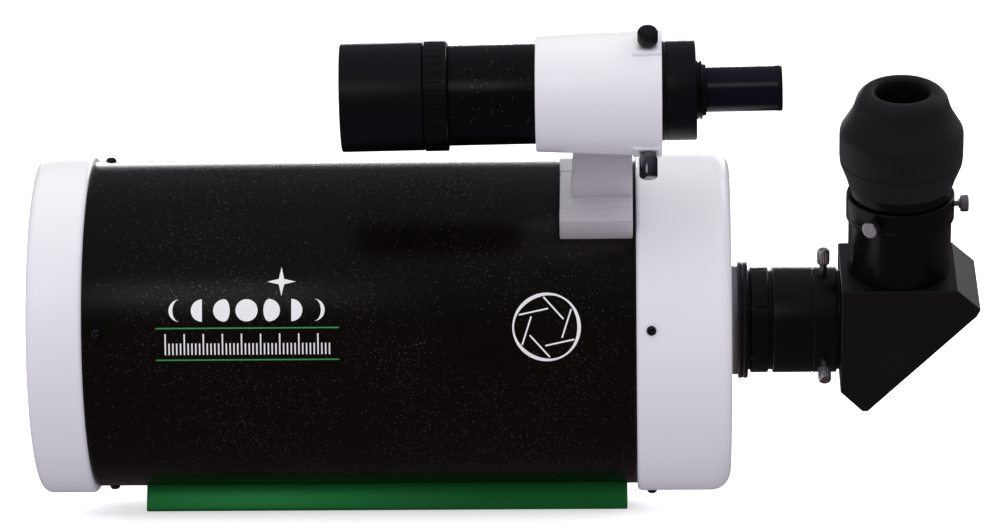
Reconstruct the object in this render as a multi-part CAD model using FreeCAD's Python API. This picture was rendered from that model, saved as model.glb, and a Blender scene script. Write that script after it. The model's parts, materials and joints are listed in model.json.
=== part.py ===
import FreeCAD, Part
import math
import os
from FreeCAD import Placement, Rotation, Vector

# Maksutov telescope, millimetres. The origin is the centre of the dovetail bar's underside,
# +X points along the tube towards the eyepiece end and +Z is up. The side with the finder is -Y.

# Tube and its two cells: stations along X and radii about the optical axis
AXIS_HEIGHT = 100.0
TUBE_R = 87.5
TUBE_BORE_R = 86.0
TUBE_FRONT = -156.0
TUBE_REAR = 149.0
FRONT_LIP = -185.5
FRONT_CELL_R = 91.0
LENS_SEAT_R = 83.0
LENS_SEAT = -165.4
CLEAR_R = 76.0
REAR_CELL_FRONT = 134.5
REAR_FACE = 184.5
REAR_CELL_R = 91.5
REAR_WALL = 176.0
REAR_EDGE_R = 10.5
FRONT_SCREW_X = -148.0
REAR_SCREW_X = 142.3

# Meniscus corrector, primary mirror and focuser
MENISCUS_R = 220.0
MENISCUS_EDGE_FRONT = -178.0
MENISCUS_EDGE_REAR = -166.0
MIRROR_R = 78.0
MIRROR_FRONT = 132.0
MIRROR_BACK = 152.0
MIRROR_CURVE_R = 900.0
BAFFLE_R = 17.0
FOCUSER_OFFSET = 55.0
FOCUS_ROD_R = 3.0
FOCUS_SLEEVE_R = 6.0

# Rear port and two-inch adapter
PORT_R = 26.0
VISUAL_BACK_FRONT = 188.9
COUPLING_FRONT = 195.4
COUPLING_REAR = 205.1
ADAPTER_FRONT = 207.3
ADAPTER_REAR = 241.8
ADAPTER_R = 28.55
TWO_INCH_R = 25.4
TWO_INCH_BORE_R = 25.45
ADAPTER_SCREW_X = 234.7
ADAPTER_SCREW_CLOCKS = (20.5, 140.5)

# Dovetail bar
BAR_HALF_LENGTH = 129.0
BAR_HALF_WIDTH = 22.0
BAR_TOP_HALF_WIDTH = 19.4
BAR_FLANK_HEIGHT = 10.0
BAR_SCREW_X = (-104.0, -72.0, 72.0, 104.0)

# Finder support, in a frame turned about the optical axis so that its own Z meets the finder
SUPPORT_CLOCK = 41.5
SHOE_FRONT = 94.6
SHOE_REAR = 132.9
SHOE_HALF_WIDTH = 24.0
SHOE_TOP = 97.4
CHANNEL_FLOOR = 92.0
SLIDE_GAP = 0.3
FINDER_RADIUS = 166.0
RING_FRONT = 83.4
RING_REAR = 148.4
RING_FRONT_R = 30.2
RING_REAR_R = 32.75
PIVOT_X = 86.0
RING_SCREW_X = 141.2
BOSS_TOP = 33.6

# Finder, with X measured back from the O-ring that it tilts in
FINDER_TILT = 0.9
FINDER_TUBE_R = 26.05
FINDER_REAR = 62.4
SHIELD_FRONT = -103.2
SHIELD_REAR = -60.4
SHIELD_R = 28.1

# Diagonal and eyepiece, in a frame rolled about the optical axis so that its Z is the eyepiece axis
DIAGONAL_ROLL = 24.5
DIAGONAL_HALF_WIDTH = 29.0
EYEPIECE_X = 275.1
MIRROR_TO_BACK = 17.3
BACK_PLATE = 4.0
HOLDER_BASE = 31.3
COLLAR_BASE = 62.0
COLLAR_TOP = 75.7
HOLDER_SCREW_U = 69.0
HOLDER_SCREW_ANGLES = (-29.5, 90.5)

X_AXIS = Vector(1, 0, 0)
Z_AXIS = Vector(0, 0, 1)
ORIGIN = Vector(0, 0, 0)
PLUNGER_CLOCK = 120.0
FAR_CLOCK = -120.0
ABOVE_AXIS = Placement(Vector(0, 0, FINDER_RADIUS), Rotation())


# Local frames

def clock_frame(clock):
    """The optical axis's frame turned about it: 0 has Z up, and a positive clock leans Z towards -Y."""
    return Placement(Vector(0, 0, AXIS_HEIGHT), Rotation(X_AXIS, clock))


OPTICS = clock_frame(0)
SUPPORT = clock_frame(SUPPORT_CLOCK)
DIAGONAL = clock_frame(DIAGONAL_ROLL)


def ring_screw_frame(clock):
    """A frame on the finder ring with its Z outwards at one of the three screws."""
    at_ring = Placement(Vector(RING_SCREW_X, 0, FINDER_RADIUS), Rotation(X_AXIS, clock))
    return SUPPORT.multiply(at_ring)


def finder_frame():
    """The finder's frame: its rear is raised from the ring's axis, away from the plunger."""
    lean = math.radians(PLUNGER_CLOCK)
    hinge = Vector(0, math.cos(lean), math.sin(lean))
    at_pivot = Placement(Vector(PIVOT_X, 0, FINDER_RADIUS), Rotation(hinge, FINDER_TILT))
    return SUPPORT.multiply(at_pivot)


def eyepiece_frame():
    """A frame whose X runs up the eyepiece's axis from the optical axis."""
    return DIAGONAL.multiply(Placement(Vector(EYEPIECE_X, 0, 0), Rotation(Vector(0, 1, 0), -90)))


def holder_screw_frame(angle):
    """A frame on the eyepiece holder with its Z outwards at one thumbscrew."""
    outwards = Vector(math.sin(math.radians(angle)), -math.cos(math.radians(angle)), 0)
    return DIAGONAL.multiply(Placement(Vector(EYEPIECE_X, 0, HOLDER_SCREW_U), Rotation(Z_AXIS, outwards)))


FINDER = finder_frame()
EYEPIECE = eyepiece_frame()


# Shape helpers

def placed(shape, frame):
    moved = shape.copy()
    moved.Placement = frame.multiply(moved.Placement)
    return moved


def outline(start, *steps):
    """A closed wire in the XZ plane. A step is a corner, or the middle and the end of an arc."""
    edges = []
    here = Vector(start[0], 0, start[1])
    for step in steps:
        if isinstance(step[0], tuple):
            middle = Vector(step[0][0], 0, step[0][1])
            end = Vector(step[1][0], 0, step[1][1])
            edges.append(Part.Arc(here, middle, end).toShape())
        else:
            end = Vector(step[0], 0, step[1])
            edges.append(Part.makeLine(here, end))
        here = end
    edges.append(Part.makeLine(here, edges[0].Vertexes[0].Point))
    return Part.Wire(edges)


def turned(start, *steps):
    """A closed outline of (x, radius) points turned about the X axis."""
    return Part.Face(outline(start, *steps)).revolve(ORIGIN, X_AXIS, 360)


def ring(front, rear, inner, outer):
    return turned((front, inner), (rear, inner), (rear, outer), (front, outer))


def rod(start, end, radius):
    """A cylinder along X."""
    return Part.makeCylinder(radius, end - start, Vector(start, 0, 0), X_AXIS)


def post(bottom, top, radius, x=0.0, y=0.0):
    """A cylinder along Z."""
    return Part.makeCylinder(radius, top - bottom, Vector(x, y, bottom), Z_AXIS)


def block(low, high):
    size = [high[i] - low[i] for i in range(3)]
    return Part.makeBox(size[0], size[1], size[2], Vector(*low))


def extruded(wire, start_y, end_y):
    """A wire of the XZ plane extruded along Y."""
    face = Part.Face(wire)
    face.translate(Vector(0, start_y, 0))
    return face.extrude(Vector(0, end_y - start_y, 0))


def section_along_x(points, start_x, end_x):
    """A polygon of (y, z) points extruded along X."""
    corners = [Vector(start_x, y, z) for y, z in points]
    face = Part.Face(Part.makePolygon(corners + corners[:1]))
    return face.extrude(Vector(end_x - start_x, 0, 0))


def arc_middle(radius):
    """How far an arc's middle lies from the two sides it rounds."""
    return radius * (1 - math.sqrt(0.5))


def sag(curve_r, radius):
    return curve_r - math.sqrt(curve_r ** 2 - radius ** 2)


def dome_step(bulge, rim):
    """The sag at half the rim's radius of a spherical face that bulges this far at its centre."""
    curve_r = (rim ** 2 + bulge ** 2) / (2 * bulge)
    return sag(curve_r, rim / 2)


def convex_front(front, rear, rim, bulge):
    """A lens with a spherical front face and a flat rear one."""
    middle = (front + dome_step(bulge, rim), rim / 2)
    return turned((front, 0), (middle, (front + bulge, rim)), (rear, rim), (rear, 0))


def convex_rear(front, rear, rim, bulge):
    """A lens with a flat front face and a spherical rear one."""
    middle = (rear - dome_step(bulge, rim), rim / 2)
    return turned((front, 0), (front, rim), (rear - bulge, rim), (middle, (rear, 0)))


def notched(shape, count, pitch_r, notch_r, start, end):
    """Cut equal round grip notches along X round a turned piece."""
    for i in range(count):
        angle = 2 * math.pi * i / count
        centre = Vector(start, pitch_r * math.cos(angle), pitch_r * math.sin(angle))
        shape = shape.cut(Part.makeCylinder(notch_r, end - start, centre, X_AXIS))
    return shape


# Screws: each stands along its own Z

def button_screw(seat, head_r, head_height, shank_r, tip):
    """A domed screw with a socket; seat is the height of the head's underside."""
    dome = Part.Face(outline((0, seat), (head_r, seat), (head_r, seat + 0.4 * head_height),
                             ((0.75 * head_r, seat + 0.82 * head_height), (0.35 * head_r, seat + head_height)),
                             (0, seat + head_height))).revolve(ORIGIN, Z_AXIS, 360)
    screw = dome.fuse(post(tip, seat, shank_r))
    socket = post(seat + 0.45 * head_height, seat + head_height + 1, 0.42 * head_r)
    return screw.cut(socket).removeSplitter()


def screw_circle(x, screw):
    """Four screws a quarter turn apart about the optical axis."""
    screws = []
    for clock in (0, 90, 180, 270):
        at_station = Placement(Vector(x, 0, 0), Rotation())
        screws.append(placed(screw, clock_frame(clock).multiply(at_station)))
    return screws


def front_cell_screw_list():
    return screw_circle(FRONT_SCREW_X, button_screw(TUBE_R, 2.8, 2.2, 1.5, CLEAR_R + 1.5))


def rear_cell_screw_list():
    return screw_circle(REAR_SCREW_X, button_screw(REAR_CELL_R, 2.6, 2.0, 1.5, TUBE_BORE_R - 1.5))


def bar_screw_list():
    """Cap screws sunk in the bar's underside, up into the tube wall."""
    screws = []
    for x in BAR_SCREW_X:
        screw = post(1.0, 5.5, 5.0, x).fuse(post(5.5, 14.6, 3.0, x)).cut(post(0.5, 3.5, 2.5, x))
        screws.append(screw.removeSplitter())
    return screws


def shoe_screw_list():
    """Two countersunk screws through the shoe's floor into the tube."""
    screws = []
    for x in (103.8, 123.7):
        head = Part.makeCone(2.0, 4.2, 2.3, Vector(x, 0, CHANNEL_FLOOR - 2.5), Z_AXIS)
        screw = head.fuse(post(TUBE_BORE_R - 2, CHANNEL_FLOOR - 2.5, 2.0, x))
        screws.append(placed(screw.removeSplitter(), SUPPORT))
    return screws


# Tube assembly

def main_tube():
    tube = placed(ring(TUBE_FRONT, TUBE_REAR, TUBE_BORE_R, TUBE_R), OPTICS)
    for screw in front_cell_screw_list() + rear_cell_screw_list() + bar_screw_list() + shoe_screw_list():
        tube = tube.cut(screw)
    return tube


def front_cell():
    edge = 5.5
    back_edge = 3.0
    far = arc_middle(edge)
    near = arc_middle(back_edge)
    cell = turned(
        (FRONT_LIP + 1, LENS_SEAT_R), (FRONT_LIP, LENS_SEAT_R + 1), (FRONT_LIP, FRONT_CELL_R - edge),
        ((FRONT_LIP + far, FRONT_CELL_R - far), (FRONT_LIP + edge, FRONT_CELL_R)),
        (TUBE_FRONT - back_edge, FRONT_CELL_R),
        ((TUBE_FRONT - near, FRONT_CELL_R - near), (TUBE_FRONT, FRONT_CELL_R - back_edge)),
        (TUBE_FRONT, TUBE_BORE_R), (TUBE_FRONT + 15, TUBE_BORE_R), (TUBE_FRONT + 15, CLEAR_R),
        (LENS_SEAT, CLEAR_R), (LENS_SEAT, LENS_SEAT_R))
    cell = placed(cell, OPTICS)
    for screw in front_cell_screw_list():
        cell = cell.cut(screw)
    return cell


def corrector_lens():
    """A meniscus of nearly constant thickness, hollow towards the sky."""
    flat_r = CLEAR_R
    half = flat_r / 2
    front_centre = MENISCUS_EDGE_FRONT + sag(MENISCUS_R, flat_r)
    rear_centre = MENISCUS_EDGE_REAR + sag(MENISCUS_R, flat_r)
    step = sag(MENISCUS_R, half)
    lens = turned(
        (front_centre, 0), ((front_centre - step, half), (MENISCUS_EDGE_FRONT, flat_r)),
        (MENISCUS_EDGE_FRONT, LENS_SEAT_R - 0.1), (MENISCUS_EDGE_REAR, LENS_SEAT_R - 0.1),
        (MENISCUS_EDGE_REAR, flat_r), ((rear_centre - step, half), (rear_centre, 0)))
    return placed(lens, OPTICS)


def corrector_gasket():
    return placed(ring(MENISCUS_EDGE_REAR, LENS_SEAT, CLEAR_R + 0.5, LENS_SEAT_R - 0.1), OPTICS)


def corrector_retaining_ring():
    front = MENISCUS_EDGE_FRONT - 4.5
    shape = ring(front, MENISCUS_EDGE_FRONT, LENS_SEAT_R - 5.5, LENS_SEAT_R)
    for side in (-1, 1):
        middle = side * (LENS_SEAT_R - 3)
        shape = shape.cut(block((front - 1, middle - 4, -1.5), (front + 2, middle + 4, 1.5)))
    return placed(shape, OPTICS)


def secondary_baffle():
    """A light cone on the corrector's rear face, round the aluminised spot."""
    inner, outer = 20.5, 22.0
    rear_centre = MENISCUS_EDGE_REAR + sag(MENISCUS_R, CLEAR_R)
    at_inner = rear_centre - sag(MENISCUS_R, inner)
    at_outer = rear_centre - sag(MENISCUS_R, outer)
    tip = rear_centre + 38
    return placed(turned((at_inner, inner), (tip, inner + 4), (tip, inner + 5), (at_outer, outer)), OPTICS)


def rear_cell():
    front_edge = 2.5
    near = arc_middle(front_edge)
    far = arc_middle(REAR_EDGE_R)
    cell = turned(
        (REAR_CELL_FRONT, TUBE_R), (REAR_CELL_FRONT, REAR_CELL_R - front_edge),
        ((REAR_CELL_FRONT + near, REAR_CELL_R - near), (REAR_CELL_FRONT + front_edge, REAR_CELL_R)),
        (REAR_FACE - REAR_EDGE_R, REAR_CELL_R),
        ((REAR_FACE - far, REAR_CELL_R - far), (REAR_FACE, REAR_CELL_R - REAR_EDGE_R)),
        (REAR_FACE, PORT_R), (REAR_WALL, PORT_R), (REAR_WALL, 84), (TUBE_REAR, 84), (TUBE_REAR, TUBE_R))
    cell = placed(cell, OPTICS)
    for screw in rear_cell_screw_list():
        cell = cell.cut(screw)
    return cell.cut(placed(rod(REAR_WALL - 1, REAR_FACE + 1, 9.0), focuser_frame()))


def baffle_tube():
    """The light baffle through the mirror, with its flange on the rear wall."""
    tube = turned((-14, BAFFLE_R - 1.5), (REAR_WALL, BAFFLE_R - 1.5), (REAR_WALL, 32), (REAR_WALL - 5, 32),
                  (REAR_WALL - 5, BAFFLE_R), (-14, BAFFLE_R))
    return placed(tube, OPTICS)


# Primary mirror and focuser

def focuser_frame():
    return OPTICS.multiply(Placement(Vector(0, FOCUSER_OFFSET, 0), Rotation()))


def primary_mirror():
    hole_r = 22.5
    middle = (MIRROR_R + hole_r) / 2
    vertex = MIRROR_FRONT + sag(MIRROR_CURVE_R, MIRROR_R)
    mirror = turned(
        (vertex - sag(MIRROR_CURVE_R, hole_r), hole_r),
        ((vertex - sag(MIRROR_CURVE_R, middle), middle), (MIRROR_FRONT, MIRROR_R)),
        (MIRROR_BACK, MIRROR_R), (MIRROR_BACK, hole_r))
    return placed(mirror, OPTICS)


def mirror_carrier():
    """A sleeve that slides on the baffle tube, with a back plate that holds the focus rod."""
    bore = BAFFLE_R + 0.05
    carrier = turned((118, bore), (157, bore), (157, 66), (MIRROR_BACK, 66), (MIRROR_BACK, 21.5), (118, 21.5))
    lug = placed(rod(MIRROR_BACK, 163, 8.0), Placement(Vector(0, FOCUSER_OFFSET, 0), Rotation()))
    hole = placed(rod(MIRROR_BACK - 1, 170, FOCUS_ROD_R), Placement(Vector(0, FOCUSER_OFFSET, 0), Rotation()))
    return placed(carrier.fuse(lug).cut(hole).removeSplitter(), OPTICS)


def mirror_retaining_ring():
    return placed(ring(130.5, 134.5, 21.5, 29.0), OPTICS)


def focus_rod():
    return placed(rod(MIRROR_BACK, 196, FOCUS_ROD_R), focuser_frame())


def focus_bush():
    """The flanged bush that the focus sleeve turns in."""
    bush = turned((REAR_WALL, 6.05), (186.5, 6.05), (186.5, 12), (REAR_FACE, 12), (REAR_FACE, 9), (REAR_WALL, 9))
    return placed(bush, focuser_frame())


def focus_sleeve():
    """A threaded brass sleeve: it draws the rod in and out as the knob turns it."""
    sleeve = turned((171, FOCUS_ROD_R + 0.1), (190, FOCUS_ROD_R + 0.1), (190, FOCUS_SLEEVE_R),
                    (175.6, FOCUS_SLEEVE_R), (175.6, 8.0), (171, 8.0))
    return placed(sleeve, focuser_frame())


def focus_knob():
    knob = turned(
        (187.2, FOCUS_SLEEVE_R), (187.2, 13), (188.2, 14), (205.5, 14), ((206.8, 13.5), (207.5, 12.2)),
        (208, 0), (204, 0), (204, FOCUS_ROD_R + 0.1), (190, FOCUS_ROD_R + 0.1), (190, FOCUS_SLEEVE_R))
    return placed(notched(knob, 16, 14.9, 1.5, 189.5, 203.5), focuser_frame())


# Rear port and adapter

def rear_port_ring():
    port = turned((REAR_WALL, 22), (VISUAL_BACK_FRONT, 22), (VISUAL_BACK_FRONT, 29.5), (REAR_FACE, 29.5),
                  (REAR_FACE, PORT_R), (REAR_WALL, PORT_R))
    return placed(port, OPTICS)


def visual_back():
    flange_rear = 194.1
    back = turned(
        (VISUAL_BACK_FRONT, 22), (flange_rear + 1.9, 22), (flange_rear + 1.9, 24), (ADAPTER_FRONT, 24),
        (ADAPTER_FRONT, 27), (flange_rear, 27), (flange_rear, 31), (flange_rear - 0.5, 31.5),
        (VISUAL_BACK_FRONT + 0.5, 31.5), (VISUAL_BACK_FRONT, 31))
    return placed(back, OPTICS)


def coupling_ring():
    """The lock ring behind the flange, with grip notches."""
    lock = turned((COUPLING_FRONT, 27.05), (COUPLING_REAR, 27.05), (COUPLING_REAR, 27.9),
                  (COUPLING_REAR - 0.6, 28.5), (COUPLING_FRONT + 0.6, 28.5), (COUPLING_FRONT, 27.9))
    return placed(notched(lock, 6, 29.3, 1.6, COUPLING_FRONT - 1, COUPLING_REAR + 1), OPTICS)


def eyepiece_adapter():
    """The two-inch adapter: a bore with a groove for the compression ring."""
    bore = TWO_INCH_BORE_R
    adapter = turned(
        (196, 21), (196, 24), (ADAPTER_FRONT, 24), (ADAPTER_FRONT, ADAPTER_R - 0.5),
        (ADAPTER_FRONT + 0.5, ADAPTER_R), (ADAPTER_REAR - 0.5, ADAPTER_R), (ADAPTER_REAR, ADAPTER_R - 0.5),
        (ADAPTER_REAR, bore), (238.2, bore), (238.2, 26.5), (231.2, 26.5), (231.2, bore), (209, bore),
        (209, 21))
    adapter = placed(adapter, OPTICS)
    for clock in ADAPTER_SCREW_CLOCKS:
        at_station = Placement(Vector(ADAPTER_SCREW_X, 0, 0), Rotation())
        adapter = adapter.cut(placed(post(25, 30, 2.05), clock_frame(clock).multiply(at_station)))
    return adapter


def compression_ring(middle):
    """A split brass band that lies in a two-inch bore's groove."""
    band = ring(middle - 3.2, middle + 3.2, 25.5, 26.2)
    return band.cut(block((middle - 5, 20, -1.5), (middle + 5, 30, 1.5)))


def adapter_compression_ring():
    return placed(compression_ring(ADAPTER_SCREW_X), OPTICS)


def adapter_thumbscrew(clock):
    """A slim screw with a long rounded grip."""
    screw = Part.Face(outline(
        (0, 26.4), (2.0, 26.4), (2.0, 32.2), (2.9, 32.4), ((3.4, 32.8), (3.5, 33.6)), (3.5, 39.6),
        ((3.1, 40.9), (2.0, 41.4)), (0, 41.4))).revolve(ORIGIN, Z_AXIS, 360)
    return placed(screw, clock_frame(clock).multiply(Placement(Vector(ADAPTER_SCREW_X, 0, 0), Rotation())))


# Dovetail bar

def dovetail_bar():
    chamfer = 1.2
    top = 18.0
    bar = section_along_x(
        [(-BAR_HALF_WIDTH, chamfer), (-BAR_HALF_WIDTH + chamfer, 0), (BAR_HALF_WIDTH - chamfer, 0),
         (BAR_HALF_WIDTH, chamfer), (BAR_TOP_HALF_WIDTH, BAR_FLANK_HEIGHT), (BAR_TOP_HALF_WIDTH, top),
         (-BAR_TOP_HALF_WIDTH, top), (-BAR_TOP_HALF_WIDTH, BAR_FLANK_HEIGHT)],
        -BAR_HALF_LENGTH, BAR_HALF_LENGTH)
    bar = bar.cut(placed(rod(-200, 200, TUBE_R), OPTICS))
    for x in BAR_SCREW_X:
        bar = bar.cut(post(-1, 5.5, 5.2, x)).cut(post(5, 20, 3.1, x))
    return bar


# Finder support

def finder_shoe():
    """The shoe on the tube, with a dovetail channel for the foot."""
    top = SHOE_TOP
    half = SHOE_HALF_WIDTH
    edge = 0.8
    shoe = section_along_x(
        [(-20, 84), (-half, 87), (-half, top - edge), (-half + edge, top), (half - edge, top),
         (half, top - edge), (half, 87), (20, 84)], SHOE_FRONT, SHOE_REAR)
    channel = section_along_x(
        [(-17.3, CHANNEL_FLOOR), (-14.3, top), (-14.3, top + 2), (14.3, top + 2), (14.3, top),
         (17.3, CHANNEL_FLOOR)], SHOE_FRONT - 1, SHOE_REAR + 1)
    lock_hole = Part.makeCylinder(2.55, 20, Vector(113.7, 10, 94.8), Vector(0, 1, 0))
    shoe = shoe.cut(channel).cut(rod(0, 200, TUBE_R)).cut(lock_hole)
    shoe = placed(shoe, SUPPORT)
    for screw in shoe_screw_list():
        shoe = shoe.cut(screw)
    return shoe


def shoe_lock_screw():
    """The thumbscrew that clamps the foot in the shoe, on the side away from the finder's eyepiece."""
    screw = turned((0, 0), (0, 2.5), (10.5, 2.5), (10.5, 5.2), (11.3, 6), (18.2, 6), (19, 5.2), (19, 0))
    screw = notched(screw, 12, 6.5, 1.0, 10.3, 20)
    at_wall = Placement(Vector(113.7, 17.3, 94.8), Rotation(Z_AXIS, 90))
    return placed(screw, SUPPORT.multiply(at_wall))


def finder_stalk():
    """The foot in the shoe's channel and the flat stalk up to the ring."""
    floor = CHANNEL_FLOOR + SLIDE_GAP
    foot = section_along_x([(-16.9, floor), (-13.95, SHOE_TOP), (13.95, SHOE_TOP), (16.9, floor)],
                           SHOE_FRONT + 0.4, SHOE_REAR)
    web = extruded(outline((100.5, SHOE_TOP - 1), (SHOE_REAR, SHOE_TOP - 1), (SHOE_REAR, 140), (103.0, 140)),
                   -5.8, 5.8)
    stalk = foot.fuse(web).removeSplitter()
    return placed(stalk.cut(placed(ring_envelope(), ABOVE_AXIS)), SUPPORT)


def ring_envelope():
    """The finder ring's closed outer cone about its own axis."""
    return turned((RING_FRONT, 0), (RING_FRONT, RING_FRONT_R - 0.6), (RING_FRONT + 0.6, RING_FRONT_R),
                  (RING_REAR - 1, RING_REAR_R), (RING_REAR, RING_REAR_R - 1), (RING_REAR, 0))


def finder_ring():
    """The slightly conical ring round the finder, with three screw bosses and the O-ring's groove."""
    shell = ring_envelope()
    for clock in (0, PLUNGER_CLOCK, FAR_CLOCK):
        boss = block((RING_SCREW_X - 8, -7, 20), (RING_REAR - 0.4, 7, BOSS_TOP))
        shell = shell.fuse(placed(boss, Placement(ORIGIN, Rotation(X_AXIS, clock))))
    hollow = turned(
        (RING_FRONT - 1, 0), (RING_FRONT - 1, 27.5), (PIVOT_X - 1.4, 27.5), (PIVOT_X - 1.4, 29.05),
        (PIVOT_X + 1.4, 29.05), (PIVOT_X + 1.4, 27.6), (RING_REAR + 1, 29.5), (RING_REAR + 1, 0))
    shell = shell.cut(hollow)
    for clock, hole_r in ((0, 2.55), (PLUNGER_CLOCK, 3.5), (FAR_CLOCK, 2.55)):
        hole = post(20, 40, hole_r, RING_SCREW_X)
        shell = shell.cut(placed(hole, Placement(ORIGIN, Rotation(X_AXIS, clock))))
    return placed(shell.removeSplitter(), SUPPORT.multiply(ABOVE_AXIS))


def finder_o_ring():
    torus = Part.makeTorus(27.7, 1.3, Vector(PIVOT_X, 0, FINDER_RADIUS), X_AXIS)
    return placed(torus, SUPPORT)


def finder_offset():
    """How far the tilted finder's axis lies from the ring's axis at the screws."""
    return (RING_SCREW_X - PIVOT_X) * math.sin(math.radians(FINDER_TILT))


def adjust_screw(clock):
    """An adjusting screw whose flat tip rests on the finder tube."""
    tip = FINDER_TUBE_R + 0.5 * finder_offset() + 0.25
    return placed(post(tip, 40, 2.5), ring_screw_frame(clock))


def adjust_knob(clock):
    """The black knob on an adjusting screw."""
    knob = Part.Face(outline(
        (2.55, 35.2), (4.2, 35.2), (5.3, 36.4), (5.3, 41.6), ((4.7, 42.9), (3.2, 43.4)), (0, 43.4), (0, 40.2),
        (2.55, 40.2))).revolve(ORIGIN, Z_AXIS, 360)
    return placed(knob, ring_screw_frame(clock))


def plunger_housing():
    """The spring housing: a bright cap outside the ring and a threaded neck in its wall."""
    housing = Part.Face(outline(
        (2.05, 29.9), (3.5, 29.9), (3.5, BOSS_TOP), (4.3, BOSS_TOP), (4.3, 35.0), (4.75, 35.4), (4.75, 45.0),
        ((4.5, 45.7), (3.9, 46.0)), (0, 46.0), (0, 44.4), (2.05, 44.4))).revolve(ORIGIN, Z_AXIS, 360)
    return placed(housing, ring_screw_frame(PLUNGER_CLOCK))


def plunger_pin():
    tip = FINDER_TUBE_R - finder_offset() + 0.25
    return placed(post(tip, 42.0, 2.0), ring_screw_frame(PLUNGER_CLOCK))


# Finder

def finder_tube():
    """The tube, stepped down at the front for the lock ring and the objective's thread."""
    tube = turned((-71.5, 24.0), (FINDER_REAR, 24.0), (FINDER_REAR, FINDER_TUBE_R), (-47.6, FINDER_TUBE_R),
                  (-47.6, 25.6), (-71.5, 25.6))
    return placed(tube, FINDER)


def finder_dew_shield():
    shield = turned(
        (SHIELD_FRONT, 26.9), (SHIELD_FRONT + 0.6, 26.3), (-73.3, 26.3), (-73.3, 25.7), (SHIELD_REAR, 25.7),
        (SHIELD_REAR, SHIELD_R - 0.4), (SHIELD_REAR - 0.4, SHIELD_R), (SHIELD_FRONT + 0.8, SHIELD_R),
        (SHIELD_FRONT, SHIELD_R - 0.8))
    return placed(shield, FINDER)


def finder_lock_ring():
    lock = turned((-60.1, 25.7), (-47.9, 25.7), (-47.9, 28.25), (-48.3, 28.65), (-59.7, 28.65), (-60.1, 28.25))
    return placed(notched(lock, 36, 28.95, 0.6, -57.5, -50.5), FINDER)


def finder_objective_cell():
    cell = turned((-82, 24.2), (-80.2, 24.2), (-80.2, 24.85), (-75.0, 24.85), (-75.0, 23), (-73.6, 23),
                  (-73.6, 26.2), (-82, 26.2))
    return placed(cell, FINDER)


def finder_objective():
    """A doublet: a convex crown in front of a flatter flint."""
    crown = convex_front(-81.2, -77.6, 24.8, 1.6)
    flint = convex_front(-77.5, -75.05, 24.8, 0.5)
    return placed(Part.makeCompound([crown, flint]), FINDER)


def finder_rear_body():
    rear = FINDER_REAR + 17.6
    body = turned(
        (FINDER_REAR - 7, 22.5), (FINDER_REAR, 22.5), (rear - 4, 22.5), (rear - 4, 11.7), (rear, 11.7),
        (rear, 25.3), (rear - 0.5, 25.8), (FINDER_REAR, 25.8), (FINDER_REAR, 24.0), (FINDER_REAR - 7, 24.0))
    return placed(body, FINDER)


def finder_eyepiece_collar():
    front = FINDER_REAR + 17.6
    collar = turned(
        (front, 11.7), (front + 5.1, 11.7), (front + 5.1, 13.2), (front + 3.1, 13.6), (front + 3.1, 15.2),
        (front + 1.9, 15.2), (front + 1.9, 14.5), (front + 1.2, 14.5), (front + 1.2, 15.2), (front, 15.2))
    return placed(collar, FINDER)


def finder_eyepiece_barrel():
    rear = 124.4
    barrel = turned(
        (74, 10.5), (rear - 2.4, 10.5), (rear - 2.4, 8.5), (rear - 1.2, 8.5), (rear, 9.7), (rear, 11.4),
        (rear - 0.4, 11.8), (rear - 3, 11.8), (rear - 3.4, 11.65), (74, 11.65))
    return placed(barrel, FINDER)


def finder_eyepiece_lenses():
    """Reticle plate, field lens and eye lens."""
    reticle = rod(76.0, 77.2, 10.4)
    field = convex_front(92, 96.5, 10.4, 2.2)
    eye = convex_rear(115.5, 119.8, 10.4, 2.0)
    return placed(Part.makeCompound([reticle, field, eye]), FINDER)


# Diagonal

def diagonal_nosepiece():
    nose = turned(
        (209.6, 23.4), (243.5, 23.4), (243.5, 27), (241.95, 27), (241.95, TWO_INCH_R), (210.1, TWO_INCH_R),
        (209.6, TWO_INCH_R - 0.5))
    return placed(nose, DIAGONAL)


def mirror_space(low, high):
    """A block in the frame of the diagonal's mirror: X along it, Y across it and Z behind it."""
    tilt = Rotation(Vector(0, 1, 0), -45)
    behind = Rotation(X_AXIS, 180)
    return placed(block(low, high), Placement(Vector(EYEPIECE_X, 0, 0), tilt.multiply(behind)))


def diagonal_prism():
    """The whole outer shape of the housing and its back plate."""
    wire = outline((243.5, 31.3), (305, 31.3), (317.5, 20), (315.5, 15.9), (258.3, -41.3), (255.4, -41.3),
                   (243.5, -29.5))
    prism = extruded(wire, -DIAGONAL_HALF_WIDTH, DIAGONAL_HALF_WIDTH)
    return prism.makeFillet(0.9, prism.Edges)


def diagonal_screw_list():
    """Four screws that hold the back plate, sunk flush in it."""
    screws = []
    back = MIRROR_TO_BACK
    for along in (-30.0, 30.0):
        for across in (-26.8, 26.8):
            hole = post(back - 9, back - 0.4, 1.2, along, across)
            head = Part.makeCone(1.2, 1.9, 1.0, Vector(along, across, back - 1.4), Z_AXIS)
            tilt = Rotation(Vector(0, 1, 0), -45).multiply(Rotation(X_AXIS, 180))
            screws.append(placed(hole.fuse(head).removeSplitter(), Placement(Vector(EYEPIECE_X, 0, 0), tilt)))
    return screws


def diagonal_housing():
    plate_face = MIRROR_TO_BACK - BACK_PLATE
    housing = diagonal_prism().cut(mirror_space((-90, -40, plate_face), (90, 40, 40)))
    light = rod(240, 310, 22.5).fuse(post(-40, 40, 22.5, EYEPIECE_X))
    light = light.common(mirror_space((-90, -40, -90), (90, 40, 0)))
    housing = housing.cut(light).cut(mirror_space((-34, -25, 0), (34, 25, plate_face + 1)))
    housing = housing.cut(post(24, 40, 24.5, EYEPIECE_X))
    for screw in diagonal_screw_list():
        housing = housing.cut(screw)
    return placed(housing, DIAGONAL)


def diagonal_mirror():
    return placed(mirror_space((-33.8, -24.8, 0), (33.8, 24.8, 8)), DIAGONAL)


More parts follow.
